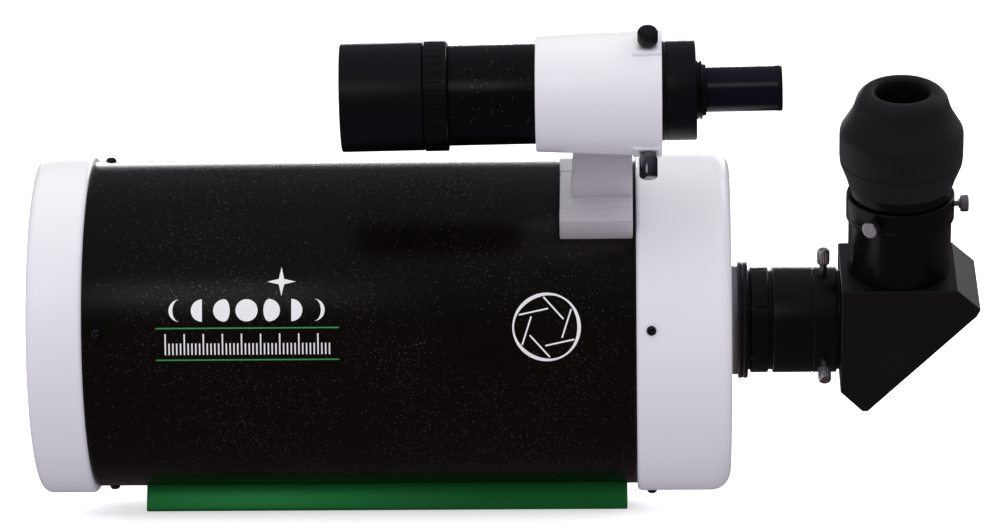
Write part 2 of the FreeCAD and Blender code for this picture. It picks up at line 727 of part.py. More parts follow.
def diagonal_back_plate():
    plate = diagonal_prism().common(mirror_space((-90, -40, MIRROR_TO_BACK - BACK_PLATE), (90, 40, 40)))
    pad = mirror_space((-28, -18, 8), (28, 18, MIRROR_TO_BACK - BACK_PLATE))
    plate = plate.fuse(pad).removeSplitter()
    for screw in diagonal_screw_list():
        plate = plate.cut(screw)
    return placed(plate, DIAGONAL)


def diagonal_screws():
    return [placed(screw, DIAGONAL) for screw in diagonal_screw_list()]


def diagonal_eyepiece_holder():
    """The upper tube: a threaded neck in the housing, and a thicker collar at the top."""
    bore = TWO_INCH_BORE_R
    holder = turned(
        (24, 22.5), (36, 22.5), (36, bore), (65.6, bore), (65.6, 26.5), (72.4, 26.5), (72.4, bore),
        (COLLAR_TOP - 0.6, bore), (COLLAR_TOP, bore + 0.6), (COLLAR_TOP, 28.25), (COLLAR_TOP - 0.5, 28.75),
        (COLLAR_BASE + 0.4, 28.75), (COLLAR_BASE, 28.35), (COLLAR_BASE, 27.4), (HOLDER_BASE, 27.4),
        (HOLDER_BASE, 24.5), (24, 24.5))
    holder = placed(holder, EYEPIECE)
    for angle in HOLDER_SCREW_ANGLES:
        holder = holder.cut(placed(post(24, 32, 1.55), holder_screw_frame(angle)))
    return holder


def diagonal_compression_ring():
    return placed(compression_ring(HOLDER_SCREW_U), EYEPIECE)


def holder_thumbscrew(angle):
    """A thin screw with a flat disc head."""
    screw = Part.Face(outline(
        (0, 26.4), (1.5, 26.4), (1.5, 31.0), (2.6, 31.0), (2.6, 31.9), (4.2, 31.9), (4.5, 32.2), (4.5, 35.7),
        (4.0, 36.2), (0, 36.2))).revolve(ORIGIN, Z_AXIS, 360)
    return placed(screw, holder_screw_frame(angle))


# Eyepiece

def eyepiece_barrel():
    barrel = turned(
        (40, 23.6), (COLLAR_TOP + 4, 23.6), (COLLAR_TOP + 4, TWO_INCH_R), (40.6, TWO_INCH_R),
        (40, TWO_INCH_R - 0.6))
    return placed(barrel, EYEPIECE)


def eyepiece_body():
    """The lens barrel: a shoulder on the collar and a stepped top inside the eyecup."""
    base = COLLAR_TOP + 0.15
    body = turned(
        (base, TWO_INCH_R), (base, 26.2), (base + 0.6, 26.8), (82, 26.8), (82, 24), (108, 24), (114, 19.5),
        (116.5, 19.5), (116.5, 13.2), (114.6, 13.2), (114.6, 15.5), (104, 15.5), (96, 20.5),
        (COLLAR_TOP + 4, 20.5), (COLLAR_TOP + 4, TWO_INCH_R))
    return placed(body, EYEPIECE)


def eyecup():
    """The rubber eyecup: a tapered neck, a bulged band and a cone up to the rim."""
    cup = turned(
        (82, 24), (82, 27.9), ((85.5, 30.3), (92, 32.6)), (113, 32.8), ((117.5, 31.6), (121.5, 28.4)),
        ((125.5, 25.6), (130.5, 24.0)), ((134.2, 22.2), (136, 18.6)), ((135.6, 15.9), (133.6, 14.6)),
        (128, 17.5), (121, 23.5), (117, 26.5), (111, 26.5), (109, 24))
    return placed(cup, EYEPIECE)


def eyepiece_lenses():
    """Eye lens under the eyecup and field lens low in the barrel."""
    eye = convex_rear(106.5, 114.4, 15.4, 3.0)
    field = convex_rear(84, 91, 20.4, 3.6)
    return placed(Part.makeCompound([eye, field]), EYEPIECE)


def group(solids):
    return Part.makeCompound(solids)


PIECES = {
    "main_tube": main_tube(),
    "front_cell": front_cell(),
    "front_cell_screws": group(front_cell_screw_list()),
    "corrector_lens": corrector_lens(),
    "corrector_gasket": corrector_gasket(),
    "corrector_retaining_ring": corrector_retaining_ring(),
    "secondary_baffle": secondary_baffle(),
    "rear_cell": rear_cell(),
    "rear_cell_screws": group(rear_cell_screw_list()),
    "baffle_tube": baffle_tube(),
    "primary_mirror": primary_mirror(),
    "mirror_carrier": mirror_carrier(),
    "mirror_retaining_ring": mirror_retaining_ring(),
    "focus_rod": focus_rod(),
    "focus_bush": focus_bush(),
    "focus_sleeve": focus_sleeve(),
    "focus_knob": focus_knob(),
    "rear_port_ring": rear_port_ring(),
    "visual_back": visual_back(),
    "coupling_ring": coupling_ring(),
    "eyepiece_adapter": eyepiece_adapter(),
    "adapter_compression_ring": adapter_compression_ring(),
    "adapter_thumbscrew_upper": adapter_thumbscrew(ADAPTER_SCREW_CLOCKS[0]),
    "adapter_thumbscrew_lower": adapter_thumbscrew(ADAPTER_SCREW_CLOCKS[1]),
    "dovetail_bar": dovetail_bar(),
    "dovetail_screws": group(bar_screw_list()),
    "finder_shoe": finder_shoe(),
    "finder_shoe_screws": group(shoe_screw_list()),
    "shoe_lock_screw": shoe_lock_screw(),
    "finder_stalk": finder_stalk(),
    "finder_ring": finder_ring(),
    "finder_o_ring": finder_o_ring(),
    "adjust_screw_upper": adjust_screw(0),
    "adjust_knob_upper": adjust_knob(0),
    "adjust_screw_far": adjust_screw(FAR_CLOCK),
    "adjust_knob_far": adjust_knob(FAR_CLOCK),
    "plunger_housing": plunger_housing(),
    "plunger_pin": plunger_pin(),
    "finder_tube": finder_tube(),
    "finder_dew_shield": finder_dew_shield(),
    "finder_lock_ring": finder_lock_ring(),
    "finder_objective_cell": finder_objective_cell(),
    "finder_objective": finder_objective(),
    "finder_rear_body": finder_rear_body(),
    "finder_eyepiece_collar": finder_eyepiece_collar(),
    "finder_eyepiece_barrel": finder_eyepiece_barrel(),
    "finder_eyepiece_lenses": finder_eyepiece_lenses(),
    "diagonal_nosepiece": diagonal_nosepiece(),
    "diagonal_housing": diagonal_housing(),
    "diagonal_mirror": diagonal_mirror(),
    "diagonal_back_plate": diagonal_back_plate(),
    "diagonal_screws": group(diagonal_screws()),
    "diagonal_eyepiece_holder": diagonal_eyepiece_holder(),
    "diagonal_compression_ring": diagonal_compression_ring(),
    "diagonal_thumbscrew_front": holder_thumbscrew(HOLDER_SCREW_ANGLES[0]),
    "diagonal_thumbscrew_side": holder_thumbscrew(HOLDER_SCREW_ANGLES[1]),
    "eyepiece_barrel": eyepiece_barrel(),
    "eyepiece_body": eyepiece_body(),
    "eyecup": eyecup(),
    "eyepiece_lenses": eyepiece_lenses(),
}

os.makedirs("parts", exist_ok=True)
for node, shape in PIECES.items():
    shape.exportStep("parts/" + node + ".step")
print(len(PIECES), "nodes written")
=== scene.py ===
import json
import math
import bpy
from mathutils import Matrix, Quaternion, Vector

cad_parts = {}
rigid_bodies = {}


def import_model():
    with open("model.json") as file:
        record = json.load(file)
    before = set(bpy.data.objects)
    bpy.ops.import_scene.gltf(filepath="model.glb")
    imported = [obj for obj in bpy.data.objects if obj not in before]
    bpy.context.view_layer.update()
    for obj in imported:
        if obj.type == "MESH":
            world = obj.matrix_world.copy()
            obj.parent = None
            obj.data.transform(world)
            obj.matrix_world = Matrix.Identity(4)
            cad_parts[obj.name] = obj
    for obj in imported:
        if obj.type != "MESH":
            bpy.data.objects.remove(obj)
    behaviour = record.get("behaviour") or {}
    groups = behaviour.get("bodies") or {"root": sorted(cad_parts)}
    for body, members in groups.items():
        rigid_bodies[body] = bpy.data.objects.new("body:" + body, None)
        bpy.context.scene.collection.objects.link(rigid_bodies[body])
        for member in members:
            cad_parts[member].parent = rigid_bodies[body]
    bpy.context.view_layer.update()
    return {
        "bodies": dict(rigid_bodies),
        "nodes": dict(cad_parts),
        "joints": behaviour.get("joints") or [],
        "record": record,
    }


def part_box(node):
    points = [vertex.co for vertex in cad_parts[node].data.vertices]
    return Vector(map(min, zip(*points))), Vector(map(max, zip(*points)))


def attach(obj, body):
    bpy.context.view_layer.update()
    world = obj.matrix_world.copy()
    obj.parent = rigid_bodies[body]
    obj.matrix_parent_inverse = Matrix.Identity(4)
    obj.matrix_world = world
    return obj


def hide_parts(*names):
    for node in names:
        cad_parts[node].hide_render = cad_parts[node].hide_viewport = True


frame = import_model()
nodes = frame["nodes"]
joint = {j["name"]: j for j in frame["joints"]}
mm = 0.001
x_axis = Vector((1, 0, 0))


# Camera
# A long lens on the finder's side, 2.75 m from the tube and a little above it. It stands level
# with the rear cell's front edge and looks slightly forward.
axis_z = joint["focus_turn"]["pos_m"][2]
distance = 2.750
height = math.radians(3.5)
lean = math.radians(-0.47)
rear_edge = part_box("rear_cell")[0].x
stand = Vector((rear_edge, -distance * math.cos(height), axis_z + distance * math.sin(height)))
aim = Vector((rear_edge - 0.0733, 0, axis_z + 0.0297))
bpy.ops.object.select_all(action="DESELECT")
bpy.ops.object.camera_add(location=stand)
camera = bpy.context.object
camera.rotation_mode = "QUATERNION"
camera.rotation_quaternion = (aim - stand).to_track_quat("-Z", "Y") @ Quaternion((0, 0, 1), lean)
camera.data.sensor_width = 36
camera.data.lens = 183.7
camera.data.clip_end = 200
bpy.context.scene.camera = camera


# Studio
# A white floor in a white room. Both look white and light the object softly, but polished pieces
# mirror a dim room, so that black gloss stays black.
def linear(code, alpha=1.0):
    """An sRGB hex colour as the linear colour that a shader takes."""
    channels = [int(code[i:i + 2], 16) / 255 for i in (0, 2, 4)]
    curve = [c / 12.92 if c <= 0.04045 else ((c + 0.055) / 1.055) ** 2.4 for c in channels]
    return (*curve, alpha)


def add_node(owner, kind, inputs=None, **settings):
    """Adds a node to a material or world, with its settings, and sets or links its inputs."""
    made = owner.node_tree.nodes.new(kind)
    for name, value in settings.items():
        setattr(made, name, value)
    for name, value in (inputs or {}).items():
        if isinstance(value, bpy.types.NodeSocket):
            owner.node_tree.links.new(value, made.inputs[name])
        else:
            made.inputs[name].default_value = value
    return made


def new_material(name):
    """A material with a Principled shader, and that shader."""
    made = bpy.data.materials.new(name)
    made.use_nodes = True
    return made, made.node_tree.nodes["Principled BSDF"]


def feed(material, shader, name, socket):
    material.node_tree.links.new(socket, shader.inputs[name])


def gradient(owner, height, low_colour, high_colour, high_at):
    """A colour that runs from the floor's to the ceiling's, which it reaches at high_at."""
    ramp = add_node(owner, "ShaderNodeValToRGB", {"Fac": height})
    for stop, place, colour in zip(ramp.color_ramp.elements, (0.0, high_at), (low_colour, high_colour)):
        stop.position = place
        stop.color = linear(colour)
    return ramp.outputs["Color"]


bpy.context.scene.view_settings.view_transform = "Standard"
world = bpy.data.worlds.new("studio")
bpy.context.scene.world = world
world.use_nodes = True
sky = world.node_tree.nodes["Background"]
sky.inputs["Strength"].default_value = 1.3
path = add_node(world, "ShaderNodeLightPath")
where = add_node(world, "ShaderNodeTexCoord")
split = add_node(world, "ShaderNodeSeparateXYZ", {"Vector": where.outputs["Generated"]})
room = gradient(world, split.outputs["Z"], "181616", "74767e", 0.9)
around = gradient(world, split.outputs["Z"], "c6bec4", "ffffff", 0.8)
soft = add_node(world, "ShaderNodeMix", {"Factor": path.outputs["Is Diffuse Ray"]}, data_type="RGBA")
world.node_tree.links.new(room, soft.inputs["A"])
world.node_tree.links.new(around, soft.inputs["B"])
seen = add_node(world, "ShaderNodeMix", {"Factor": path.outputs["Is Camera Ray"]}, data_type="RGBA")
world.node_tree.links.new(soft.outputs["Result"], seen.inputs["A"])
seen.inputs["B"].default_value = linear("ffffff")
world.node_tree.links.new(seen.outputs["Result"], sky.inputs["Color"])

bpy.ops.object.select_all(action="DESELECT")
bpy.ops.mesh.primitive_circle_add(vertices=96, radius=40, fill_type="NGON", location=(0, 0, 0))
floor = bpy.context.object
floor.name = "floor"
floor_paint, shader = new_material("white studio floor")
shader.inputs["Base Color"].default_value = linear("ffffff")
shader.inputs["Roughness"].default_value = 0.9
shader.inputs["Emission Color"].default_value = linear("ffffff")
shader.inputs["Emission Strength"].default_value = 0.5
glance = add_node(floor_paint, "ShaderNodeLightPath")
bounce = add_node(floor_paint, "ShaderNodeMix", {"Factor": glance.outputs["Is Diffuse Ray"]}, data_type="RGBA")
bounce.inputs["A"].default_value = linear("4a4246")
bounce.inputs["B"].default_value = linear("c8c4ce")
dark = add_node(floor_paint, "ShaderNodeEmission", {"Color": bounce.outputs["Result"], "Strength": 1.0})
either = add_node(floor_paint, "ShaderNodeMixShader", {
    0: glance.outputs["Is Camera Ray"], 1: dark.outputs["Emission"], 2: shader.outputs["BSDF"]})
paint_out = floor_paint.node_tree.nodes["Material Output"]
floor_paint.node_tree.links.new(either.outputs["Shader"], paint_out.inputs["Surface"])
floor.data.materials.append(floor_paint)

for name, place, target, width, depth, power in (
        ("overhead softbox", (0.05, 3.2, 1.1), (0.05, 0, 0.1), 2.6, 0.4, 34),
        ("front fill", (-1.2, -3.4, 1.6), (0, 0, 0.1), 1.4, 1.0, 6),
        ("rear rim", (1.9, 1.6, 1.7), (0.1, 0, 0.15), 1.0, 1.0, 6)):
    bpy.ops.object.select_all(action="DESELECT")
    bpy.ops.object.light_add(type="AREA", location=place)
    lamp = bpy.context.object
    lamp.name = name
    lamp.rotation_mode = "QUATERNION"
    lamp.rotation_quaternion = (Vector(target) - Vector(place)).to_track_quat("-Z", "Y")
    lamp.data.shape = "RECTANGLE"
    lamp.data.size = width
    lamp.data.size_y = depth
    lamp.data.energy = power


# Main tube
# A rolled aluminium tube, sprayed in gloss black enamel with fine metal flakes. It butts against
# the front cell and runs into the rear cell.
def turn(name, origin, along, stations, sides=96, solid=False, edge=0.3):
    """Models a turned piece: a circle is drawn out along its axis from station to station, each
    (distance, radius) in mm. A solid piece is closed at both ends, any other ends where it began."""
    bpy.ops.object.select_all(action="DESELECT")
    origin = Vector(origin)
    along = Vector(along).normalized()
    here, radius = stations[0]
    bpy.ops.mesh.primitive_circle_add(
        vertices=sides, radius=radius * mm, fill_type="NGON" if solid else "NOTHING",
        location=origin + along * here * mm, rotation=along.to_track_quat("Z", "Y").to_euler())
    piece = bpy.context.object
    piece.name = name
    bpy.ops.object.transform_apply(location=True, rotation=True, scale=True)
    bpy.ops.object.mode_set(mode="EDIT")
    bpy.ops.mesh.select_all(action="SELECT")
    for there, next_radius in stations[1:]:
        bpy.ops.mesh.extrude_region_move(TRANSFORM_OT_translate={"value": along * (there - here) * mm})
        grow = next_radius / radius
        bpy.ops.transform.resize(value=(grow, grow, grow), center_override=origin + along * there * mm)
        here, radius = there, next_radius
    bpy.ops.mesh.select_all(action="SELECT")
    bpy.ops.mesh.remove_doubles(threshold=1e-6)
    bpy.ops.mesh.normals_make_consistent(inside=False)
    bpy.ops.object.mode_set(mode="OBJECT")
    soften(piece, edge)
    return piece


def soften(piece, edge):
    """Rounds the piece's sharp edges by a small bevel and shades it smooth."""
    bpy.ops.object.select_all(action="DESELECT")
    piece.select_set(True)
    bpy.context.view_layer.objects.active = piece
    if edge:
        bevel = piece.modifiers.new("edges", "BEVEL")
        bevel.width = edge * mm
        bevel.segments = 2
        bevel.limit_method = "ANGLE"
        bevel.angle_limit = math.radians(40)
        bpy.ops.object.modifier_apply(modifier="edges")
    bpy.ops.object.shade_smooth_by_angle(angle=math.radians(38))


def rounded(middle, middle_r, radius, start, end, steps=6):
    """Stations round a corner: an arc about (middle, middle_r) between two angles in degrees,
    0 pointing along the axis and 90 outwards."""
    arc = []
    for i in range(steps + 1):
        angle = math.radians(start + (end - start) * i / steps)
        arc.append((middle + radius * math.cos(angle), middle_r + radius * math.sin(angle)))
    return arc


def fit(piece, body, slot, material, *replaced):
    """Gives a finished piece its material and its place in the model."""
    piece.data.materials.clear()
    piece.data.materials.append(material)
    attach(piece, body)
    if replaced:
        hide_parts(*replaced)


def object_noise(material, scale, detail=2.0):
    """A noise fixed to the object, with its scale in waves per metre."""
    place = add_node(material, "ShaderNodeTexCoord").outputs["Object"]
    noise = add_node(material, "ShaderNodeTexNoise", {"Vector": place, "Scale": scale, "Detail": detail})
    return noise.outputs["Fac"]


def vary_roughness(material, shader, pattern, smooth, rough):
    """Lets the roughness follow a pattern between two values."""
    spread = add_node(material, "ShaderNodeMapRange", {"Value": pattern, "To Min": smooth, "To Max": rough})
    feed(material, shader, "Roughness", spread.outputs["Result"])


def vary_colour(material, shader, pattern, first, second):
    """Lets the base colour follow a pattern between two colours."""
    tint = add_node(material, "ShaderNodeMix", {"Factor": pattern}, data_type="RGBA")
    tint.inputs["A"].default_value = first
    tint.inputs["B"].default_value = second
    feed(material, shader, "Base Color", tint.outputs["Result"])


def emboss(material, shader, pattern, strength, distance):
    """Presses a pattern into the surface, distance metres deep."""
    skin = add_node(material, "ShaderNodeBump", {"Height": pattern, "Strength": strength, "Distance": distance})
    feed(material, shader, "Normal", skin.outputs["Normal"])


def flake_enamel(name, colour, flake, flake_mm, share):
    """Gloss black enamel with metal flakes: a deep wet black with scattered pin-points of light.
    The flakes are drawn far coarser than the real 0.05 mm so that they show."""
    material, shader = new_material(name)
    place = add_node(material, "ShaderNodeTexCoord").outputs["Object"]
    cells = add_node(material, "ShaderNodeTexVoronoi", {"Vector": place, "Scale": 1000 / flake_mm})
    near = add_node(material, "ShaderNodeMath", {0: cells.outputs["Distance"], 1: 0.34}, operation="LESS_THAN")
    lot = add_node(material, "ShaderNodeSeparateColor", {"Color": cells.outputs["Color"]})
    drift = object_noise(material, 18.0, 3.0)
    cut = add_node(material, "ShaderNodeMapRange", {
        "Value": drift, "From Min": 0.35, "From Max": 0.65, "To Min": 1.0, "To Max": 1 - share})
    rare = add_node(material, "ShaderNodeMath", {0: lot.outputs["Red"], 1: cut.outputs["Result"]},
                    operation="GREATER_THAN")
    spot = add_node(material, "ShaderNodeMath", {0: near.outputs[0], 1: rare.outputs[0]}, operation="MULTIPLY")
    level = add_node(material, "ShaderNodeMath", {0: spot.outputs[0], 1: lot.outputs["Green"]},
                     operation="MULTIPLY")
    vary_colour(material, shader, level.outputs[0], linear(colour), linear(flake))
    feed(material, shader, "Metallic", level.outputs[0])
    vary_roughness(material, shader, drift, 0.2, 0.3)
    shader.inputs["Specular IOR Level"].default_value = 0.22
    return material


optics = Vector((0, 0, axis_z))
low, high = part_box("main_tube")
tube_front, tube_rear = low.x / mm, high.x / mm
tube_r, wall = (high.z - low.z) / 2 / mm, 1.5
tube = turn("main_tube_skin", optics, x_axis, [
    (tube_front, tube_r), (tube_rear, tube_r), (tube_rear, tube_r - wall), (tube_front, tube_r - wall),
    (tube_front, tube_r)], sides=256, edge=0.2)
tube_paint = flake_enamel("black flake enamel", "100a09", "c8b4a2", 0.5, 0.10)
fit(tube, "tube", "tube_paint", tube_paint, "main_tube")


# Front cell
# A cast aluminium ring in smooth white enamel, with a spigot inside the tube. The corrector sits
# in its bore.
def white_enamel():
    """Sprayed white enamel: a bright skin with a faint orange peel about 2 mm across."""
    material, shader = new_material("white enamel")
    peel = object_noise(material, 450.0)
    emboss(material, shader, peel, 0.06, 0.0004)
    cloud = object_noise(material, 9.0)
    vary_colour(material, shader, cloud, linear("f1f2f8"), linear("f8f8fb"))
    vary_roughness(material, shader, cloud, 0.30, 0.42)
    shader.inputs["Coat Weight"].default_value = 0.25
    shader.inputs["Coat Roughness"].default_value = 0.2
    return material


white_paint = white_enamel()
low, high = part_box("front_cell")
lip, spigot_end, cell_r = low.x / mm, high.x / mm, (high.z - low.z) / 2 / mm
lens_rear, lens_seat, seat_r, clear_r = -166, -165.4, 83, 76
cell = turn("front_cell_ring", optics, x_axis,
            [(lip + 0.8, seat_r)] + rounded(lip + 0.9, 83.9, 0.9, 270, 180, 3)[1:]
            + rounded(lip + 5.5, cell_r - 5.5, 5.5, 180, 90, 8)
            + rounded(tube_front - 3, cell_r - 3, 3, 90, 0, 6)
            + [(tube_front, 86), (spigot_end, 86), (spigot_end, clear_r), (lens_seat, clear_r),
               (lens_seat, seat_r), (lip + 0.8, seat_r)],
            sides=256, edge=0)
fit(cell, "tube", "white_paint", white_paint, "front_cell")


# Rear cell
# The casting that carries the focuser and the rear port, in the same white enamel, with a large
# round to its rear edge.
low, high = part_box("rear_cell")
cell_front, rear_face = low.x / mm, high.x / mm
rear_r = (high.z - low.z) / 2 / mm
cell = turn("rear_cell_casting", optics, x_axis,
            [(cell_front, tube_r)] + rounded(cell_front + 2.5, rear_r - 2.5, 2.5, 180, 90, 5)
            + rounded(rear_face - 10.5, rear_r - 10.5, 10.5, 90, 0, 12)
            + [(rear_face, 26), (rear_face - 8.5, 26), (rear_face - 8.5, 84), (149, 84), (149, tube_r),
               (cell_front, tube_r)], sides=256, edge=0)
fit(cell, "tube", "white_paint", white_paint, "rear_cell")


# Cell screws
# Blackened steel button heads with a hexagon socket: four hold each cell to the tube.
def blackened_steel():
    """Oxide-blackened steel: near black, with a dull sheen on its rounded head."""
    material, shader = new_material("blackened steel")
    grain = object_noise(material, 2500.0)
    vary_roughness(material, shader, grain, 0.22, 0.4)
    shader.inputs["Base Color"].default_value = linear("48484c")
    shader.inputs["Metallic"].default_value = 1.0
    return material


def button_head(name, place, out, seat, head_r, height):
    """A domed head with its socket pressed in, its underside on the surface."""
    return turn(name, place, out, [
        (seat - 0.15, head_r), (seat + 0.35 * height, head_r), (seat + 0.7 * height, 0.84 * head_r),
        (seat + height, 0.52 * head_r), (seat + height, 0.42 * head_r), (seat + 0.45 * height, 0.38 * head_r),
        (seat + 0.4 * height, 0.05 * head_r)], sides=24, solid=True, edge=0.12)


def join(pieces, name):
    """Makes one object of several meshes."""
    bpy.ops.object.select_all(action="DESELECT")
    for piece in pieces:
        piece.select_set(True)
    bpy.context.view_layer.objects.active = pieces[0]
    bpy.ops.object.join()
    pieces[0].name = name
    return pieces[0]


black_steel = blackened_steel()
for node, screw_x, seat, head_r, tall in (
        ("front_cell_screws", -148.0, tube_r, 2.8, 2.2), ("rear_cell_screws", 142.3, rear_r, 2.6, 2.0)):
    heads = [button_head("head", optics + x_axis * screw_x * mm, out, seat, head_r, tall)
             for out in ((0, 0, 1), (0, -1, 0), (0, 0, -1), (0, 1, 0))]
    fit(join(heads, node + "_set"), "tube", "black_steel", black_steel, node)


# Corrector
# A deeply curved meniscus of optical glass with a green-violet coating, in a matt black retaining
# ring. The light cone round its aluminised spot sits on its rear face.
def coated_glass():
    """Multi-coated optical glass: clear, with a faint green cast in its reflection."""
    material, shader = new_material("coated optical glass")
    shader.inputs["Base Color"].default_value = linear("eef7f2")
    shader.inputs["Roughness"].default_value = 0.02
    shader.inputs["IOR"].default_value = 1.5
    shader.inputs["Transmission Weight"].default_value = 1.0
    return material


def matt_black():
    """Matt black paint inside a light path: rough enough to kill a reflection."""
    material, shader = new_material("matt black paint")
    grain = object_noise(material, 1500.0)
    emboss(material, shader, grain, 0.2, 0.0002)
    shader.inputs["Base Color"].default_value = linear("101010")
    shader.inputs["Roughness"].default_value = 0.85
    return material


def bowl(edge_at, edge_r, curve, steps, from_rim=True):
    """Stations over a spherical face that bulges back from its rim to its centre."""
    stations = []
    for i in range(steps + 1):
        radius = max(edge_r * (1 - i / steps), 0.4)
        rise = math.sqrt(curve ** 2 - radius ** 2) - math.sqrt(curve ** 2 - edge_r ** 2)
        stations.append((edge_at + rise, radius))
    return stations if from_rim else stations[::-1]


glass = coated_glass()
dull_black = matt_black()
lens_front, lens_r, meniscus_curve = -178, 82.9, 220
rear_face_arc = bowl(lens_rear, clear_r, meniscus_curve, 16)
lens = turn("corrector_glass", optics, x_axis,
            bowl(lens_front, clear_r, meniscus_curve, 16, False) + [(lens_front, lens_r), (lens_rear, lens_r)]
            + rear_face_arc, sides=160, solid=True, edge=0)
fit(lens, "tube", "coated_glass", glass, "corrector_lens")

retainer = turn("corrector_retainer", optics, x_axis, [
    (-182.5, 77.5), (lens_front, 77.5), (lens_front, seat_r), (-182.5, seat_r), (-182.5, 77.5)], sides=160)
fit(retainer, "tube", "matt_black", dull_black, "corrector_retaining_ring")

lens_back = rear_face_arc[-1][0]
cone = turn("secondary_light_cone", optics, x_axis, [
    (lens_back - 1, 20.5), (lens_back + 38, 24.5), (lens_back + 38, 25.5), (lens_back - 1.1, 22),
    (lens_back - 1, 20.5)], sides=96, edge=0.1)
fit(cone, "tube", "matt_black", dull_black, "secondary_baffle")


# Inside the tube
# The primary mirror on its sliding carrier, the light baffle through it and the fixed rings. All
# are turned pieces: anodised or painted aluminium, aluminised glass, and steel and brass focuser parts.
def mirror_coating():
    """Aluminised glass: a bright front-surface mirror with a barely seen haze."""
    material, shader = new_material("aluminised mirror glass")
    haze = object_noise(material, 30.0, 4.0)
    vary_roughness(material, shader, haze, 0.01, 0.05)
    shader.inputs["Base Color"].default_value = linear("eef0f3")
    shader.inputs["Metallic"].default_value = 1.0
    return material


def turned_metal(name, colour, rough_low, rough_high, line_mm, depth=0.15):
    """Bare or plated metal off a lathe: its tool marks are a fine bumpy grain about line_mm across,
    which softens its highlight."""
    material, shader = new_material(name)
    grain = object_noise(material, 1000 / line_mm)
    cloud = object_noise(material, 60.0)
    vary_roughness(material, shader, cloud, rough_low, rough_high)
    emboss(material, shader, grain, depth, 0.0001)
    shader.inputs["Base Color"].default_value = linear(colour)
    shader.inputs["Metallic"].default_value = 1.0
    return material


def satin_black(name, colour, rough_low, rough_high, grain_mm, depth):
    """A black skin over metal or plastic: near black with a soft grey sheen, broken by its grain."""
    material, shader = new_material(name)
    grain = object_noise(material, 1000 / grain_mm, 3.0)
    emboss(material, shader, grain, depth, 0.0002)
    cloud = object_noise(material, 40.0, 3.0)
    vary_roughness(material, shader, cloud, rough_low, rough_high)
    vary_colour(material, shader, grain, linear(colour), [1.5 * c for c in linear(colour)[:3]] + [1.0])
    shader.inputs["Specular IOR Level"].default_value = 0.3
    return material


def finish_nodes(material, *names):
    """Gives CAD nodes that keep their own mesh a finished material."""
    for name in names:
        nodes[name].data.materials.clear()
        nodes[name].data.materials.append(material)


mirror = mirror_coating()
steel = turned_metal("nickel-plated steel", "c9c5c4", 0.22, 0.36, 0.4)
brass = turned_metal("turned brass", "c8a55a", 0.22, 0.34, 0.4)
anodised = satin_black("black anodised aluminium", "09090a", 0.24, 0.32, 0.35, 0.08)
rubber_seal = satin_black("black seal rubber", "131314", 0.6, 0.75, 0.5, 0.2)
finish_nodes(mirror, "primary_mirror", "diagonal_mirror")
finish_nodes(steel, "focus_rod", "adjust_screw_upper", "adjust_screw_far", "plunger_pin")
finish_nodes(brass, "focus_sleeve", "adapter_compression_ring", "diagonal_compression_ring")
finish_nodes(anodised, "mirror_carrier", "mirror_retaining_ring", "finder_objective_cell")
finish_nodes(black_steel, "finder_shoe_screws", "dovetail_screws", "diagonal_screws")
finish_nodes(dull_black, "baffle_tube")
finish_nodes(rubber_seal, "corrector_gasket", "finder_o_ring")
finish_nodes(glass, "finder_objective", "finder_eyepiece_lenses", "eyepiece_lenses")


# Focuser
# A black plastic knob with grip flutes on a threaded sleeve, which turns in a flanged bush on the
# back of the rear cell.
def carve(piece, cutters):
    """Cuts the cutters out of the piece."""
    cutter = join(cutters, "cutter") if len(cutters) > 1 else cutters[0]
    cut = piece.modifiers.new("cut", "BOOLEAN")
    cut.operation = "DIFFERENCE"
    cut.solver = "EXACT"
    cut.object = cutter
    bpy.ops.object.select_all(action="DESELECT")
    piece.select_set(True)
    bpy.context.view_layer.objects.active = piece
    bpy.ops.object.modifier_apply(modifier="cut")
    bpy.data.objects.remove(cutter)


def flute(piece, origin, along, count, pitch_r, flute_r, start, end, sides=12):
    """Cuts equal round flutes along a turned piece."""
    along = Vector(along).normalized()
    side = along.orthogonal().normalized()
    cutters = []
    for i in range(count):
        out = Quaternion(along, 2 * math.pi * i / count) @ side
        cutters.append(turn("flute", Vector(origin) + out * pitch_r * mm, along,
                            [(start, flute_r), (end, flute_r)], sides=sides, solid=True, edge=0))
    carve(piece, cutters)


focuser = Vector(joint["focus_turn"]["pos_m"])
focuser.x = 0
bush = turn("focus_bush_flange", focuser, x_axis, [
    (176, 6.05), (186.5, 6.05), (186.5, 12), (rear_face, 12), (rear_face, 9), (176, 9), (176, 6.05)], sides=64)
fit(bush, "tube", "silver_anodised", steel, "focus_bush")

knob = turn("focus_knob_grip", focuser, x_axis, [
    (187.2, 6), (187.2, 13), (188.2, 14), (205.5, 14), (206.6, 13.6), (207.4, 12.4), (208, 11), (208, 0.3)],
    sides=96, edge=0)
flute(knob, focuser, x_axis, 16, 14.9, 1.5, 189.5, 203.5)
soften(knob, 0.15)
moulded = satin_black("moulded black ABS", "111112", 0.38, 0.5, 0.6, 0.12)
fit(knob, "focus_control", "knob_plastic", moulded, "focus_knob")


# Rear port
# A bare turned ring on the rear cell, then the black flanged visual back, its coupling ring with
# six grip notches, and the two-inch adapter.
low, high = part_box("rear_port_ring")
port = turn("rear_port_collar", optics, x_axis, [
    (rear_face - 8.5, 22), (high.x / mm, 22), (high.x / mm, 29.5), (rear_face, 29.5), (rear_face, 26),
    (rear_face - 8.5, 26), (rear_face - 8.5, 22)], sides=128)
port_metal = turned_metal("bare turned aluminium", "a9a4a8", 0.3, 0.42, 0.35)
fit(port, "tube", "grey_metal", port_metal, "rear_port_ring")

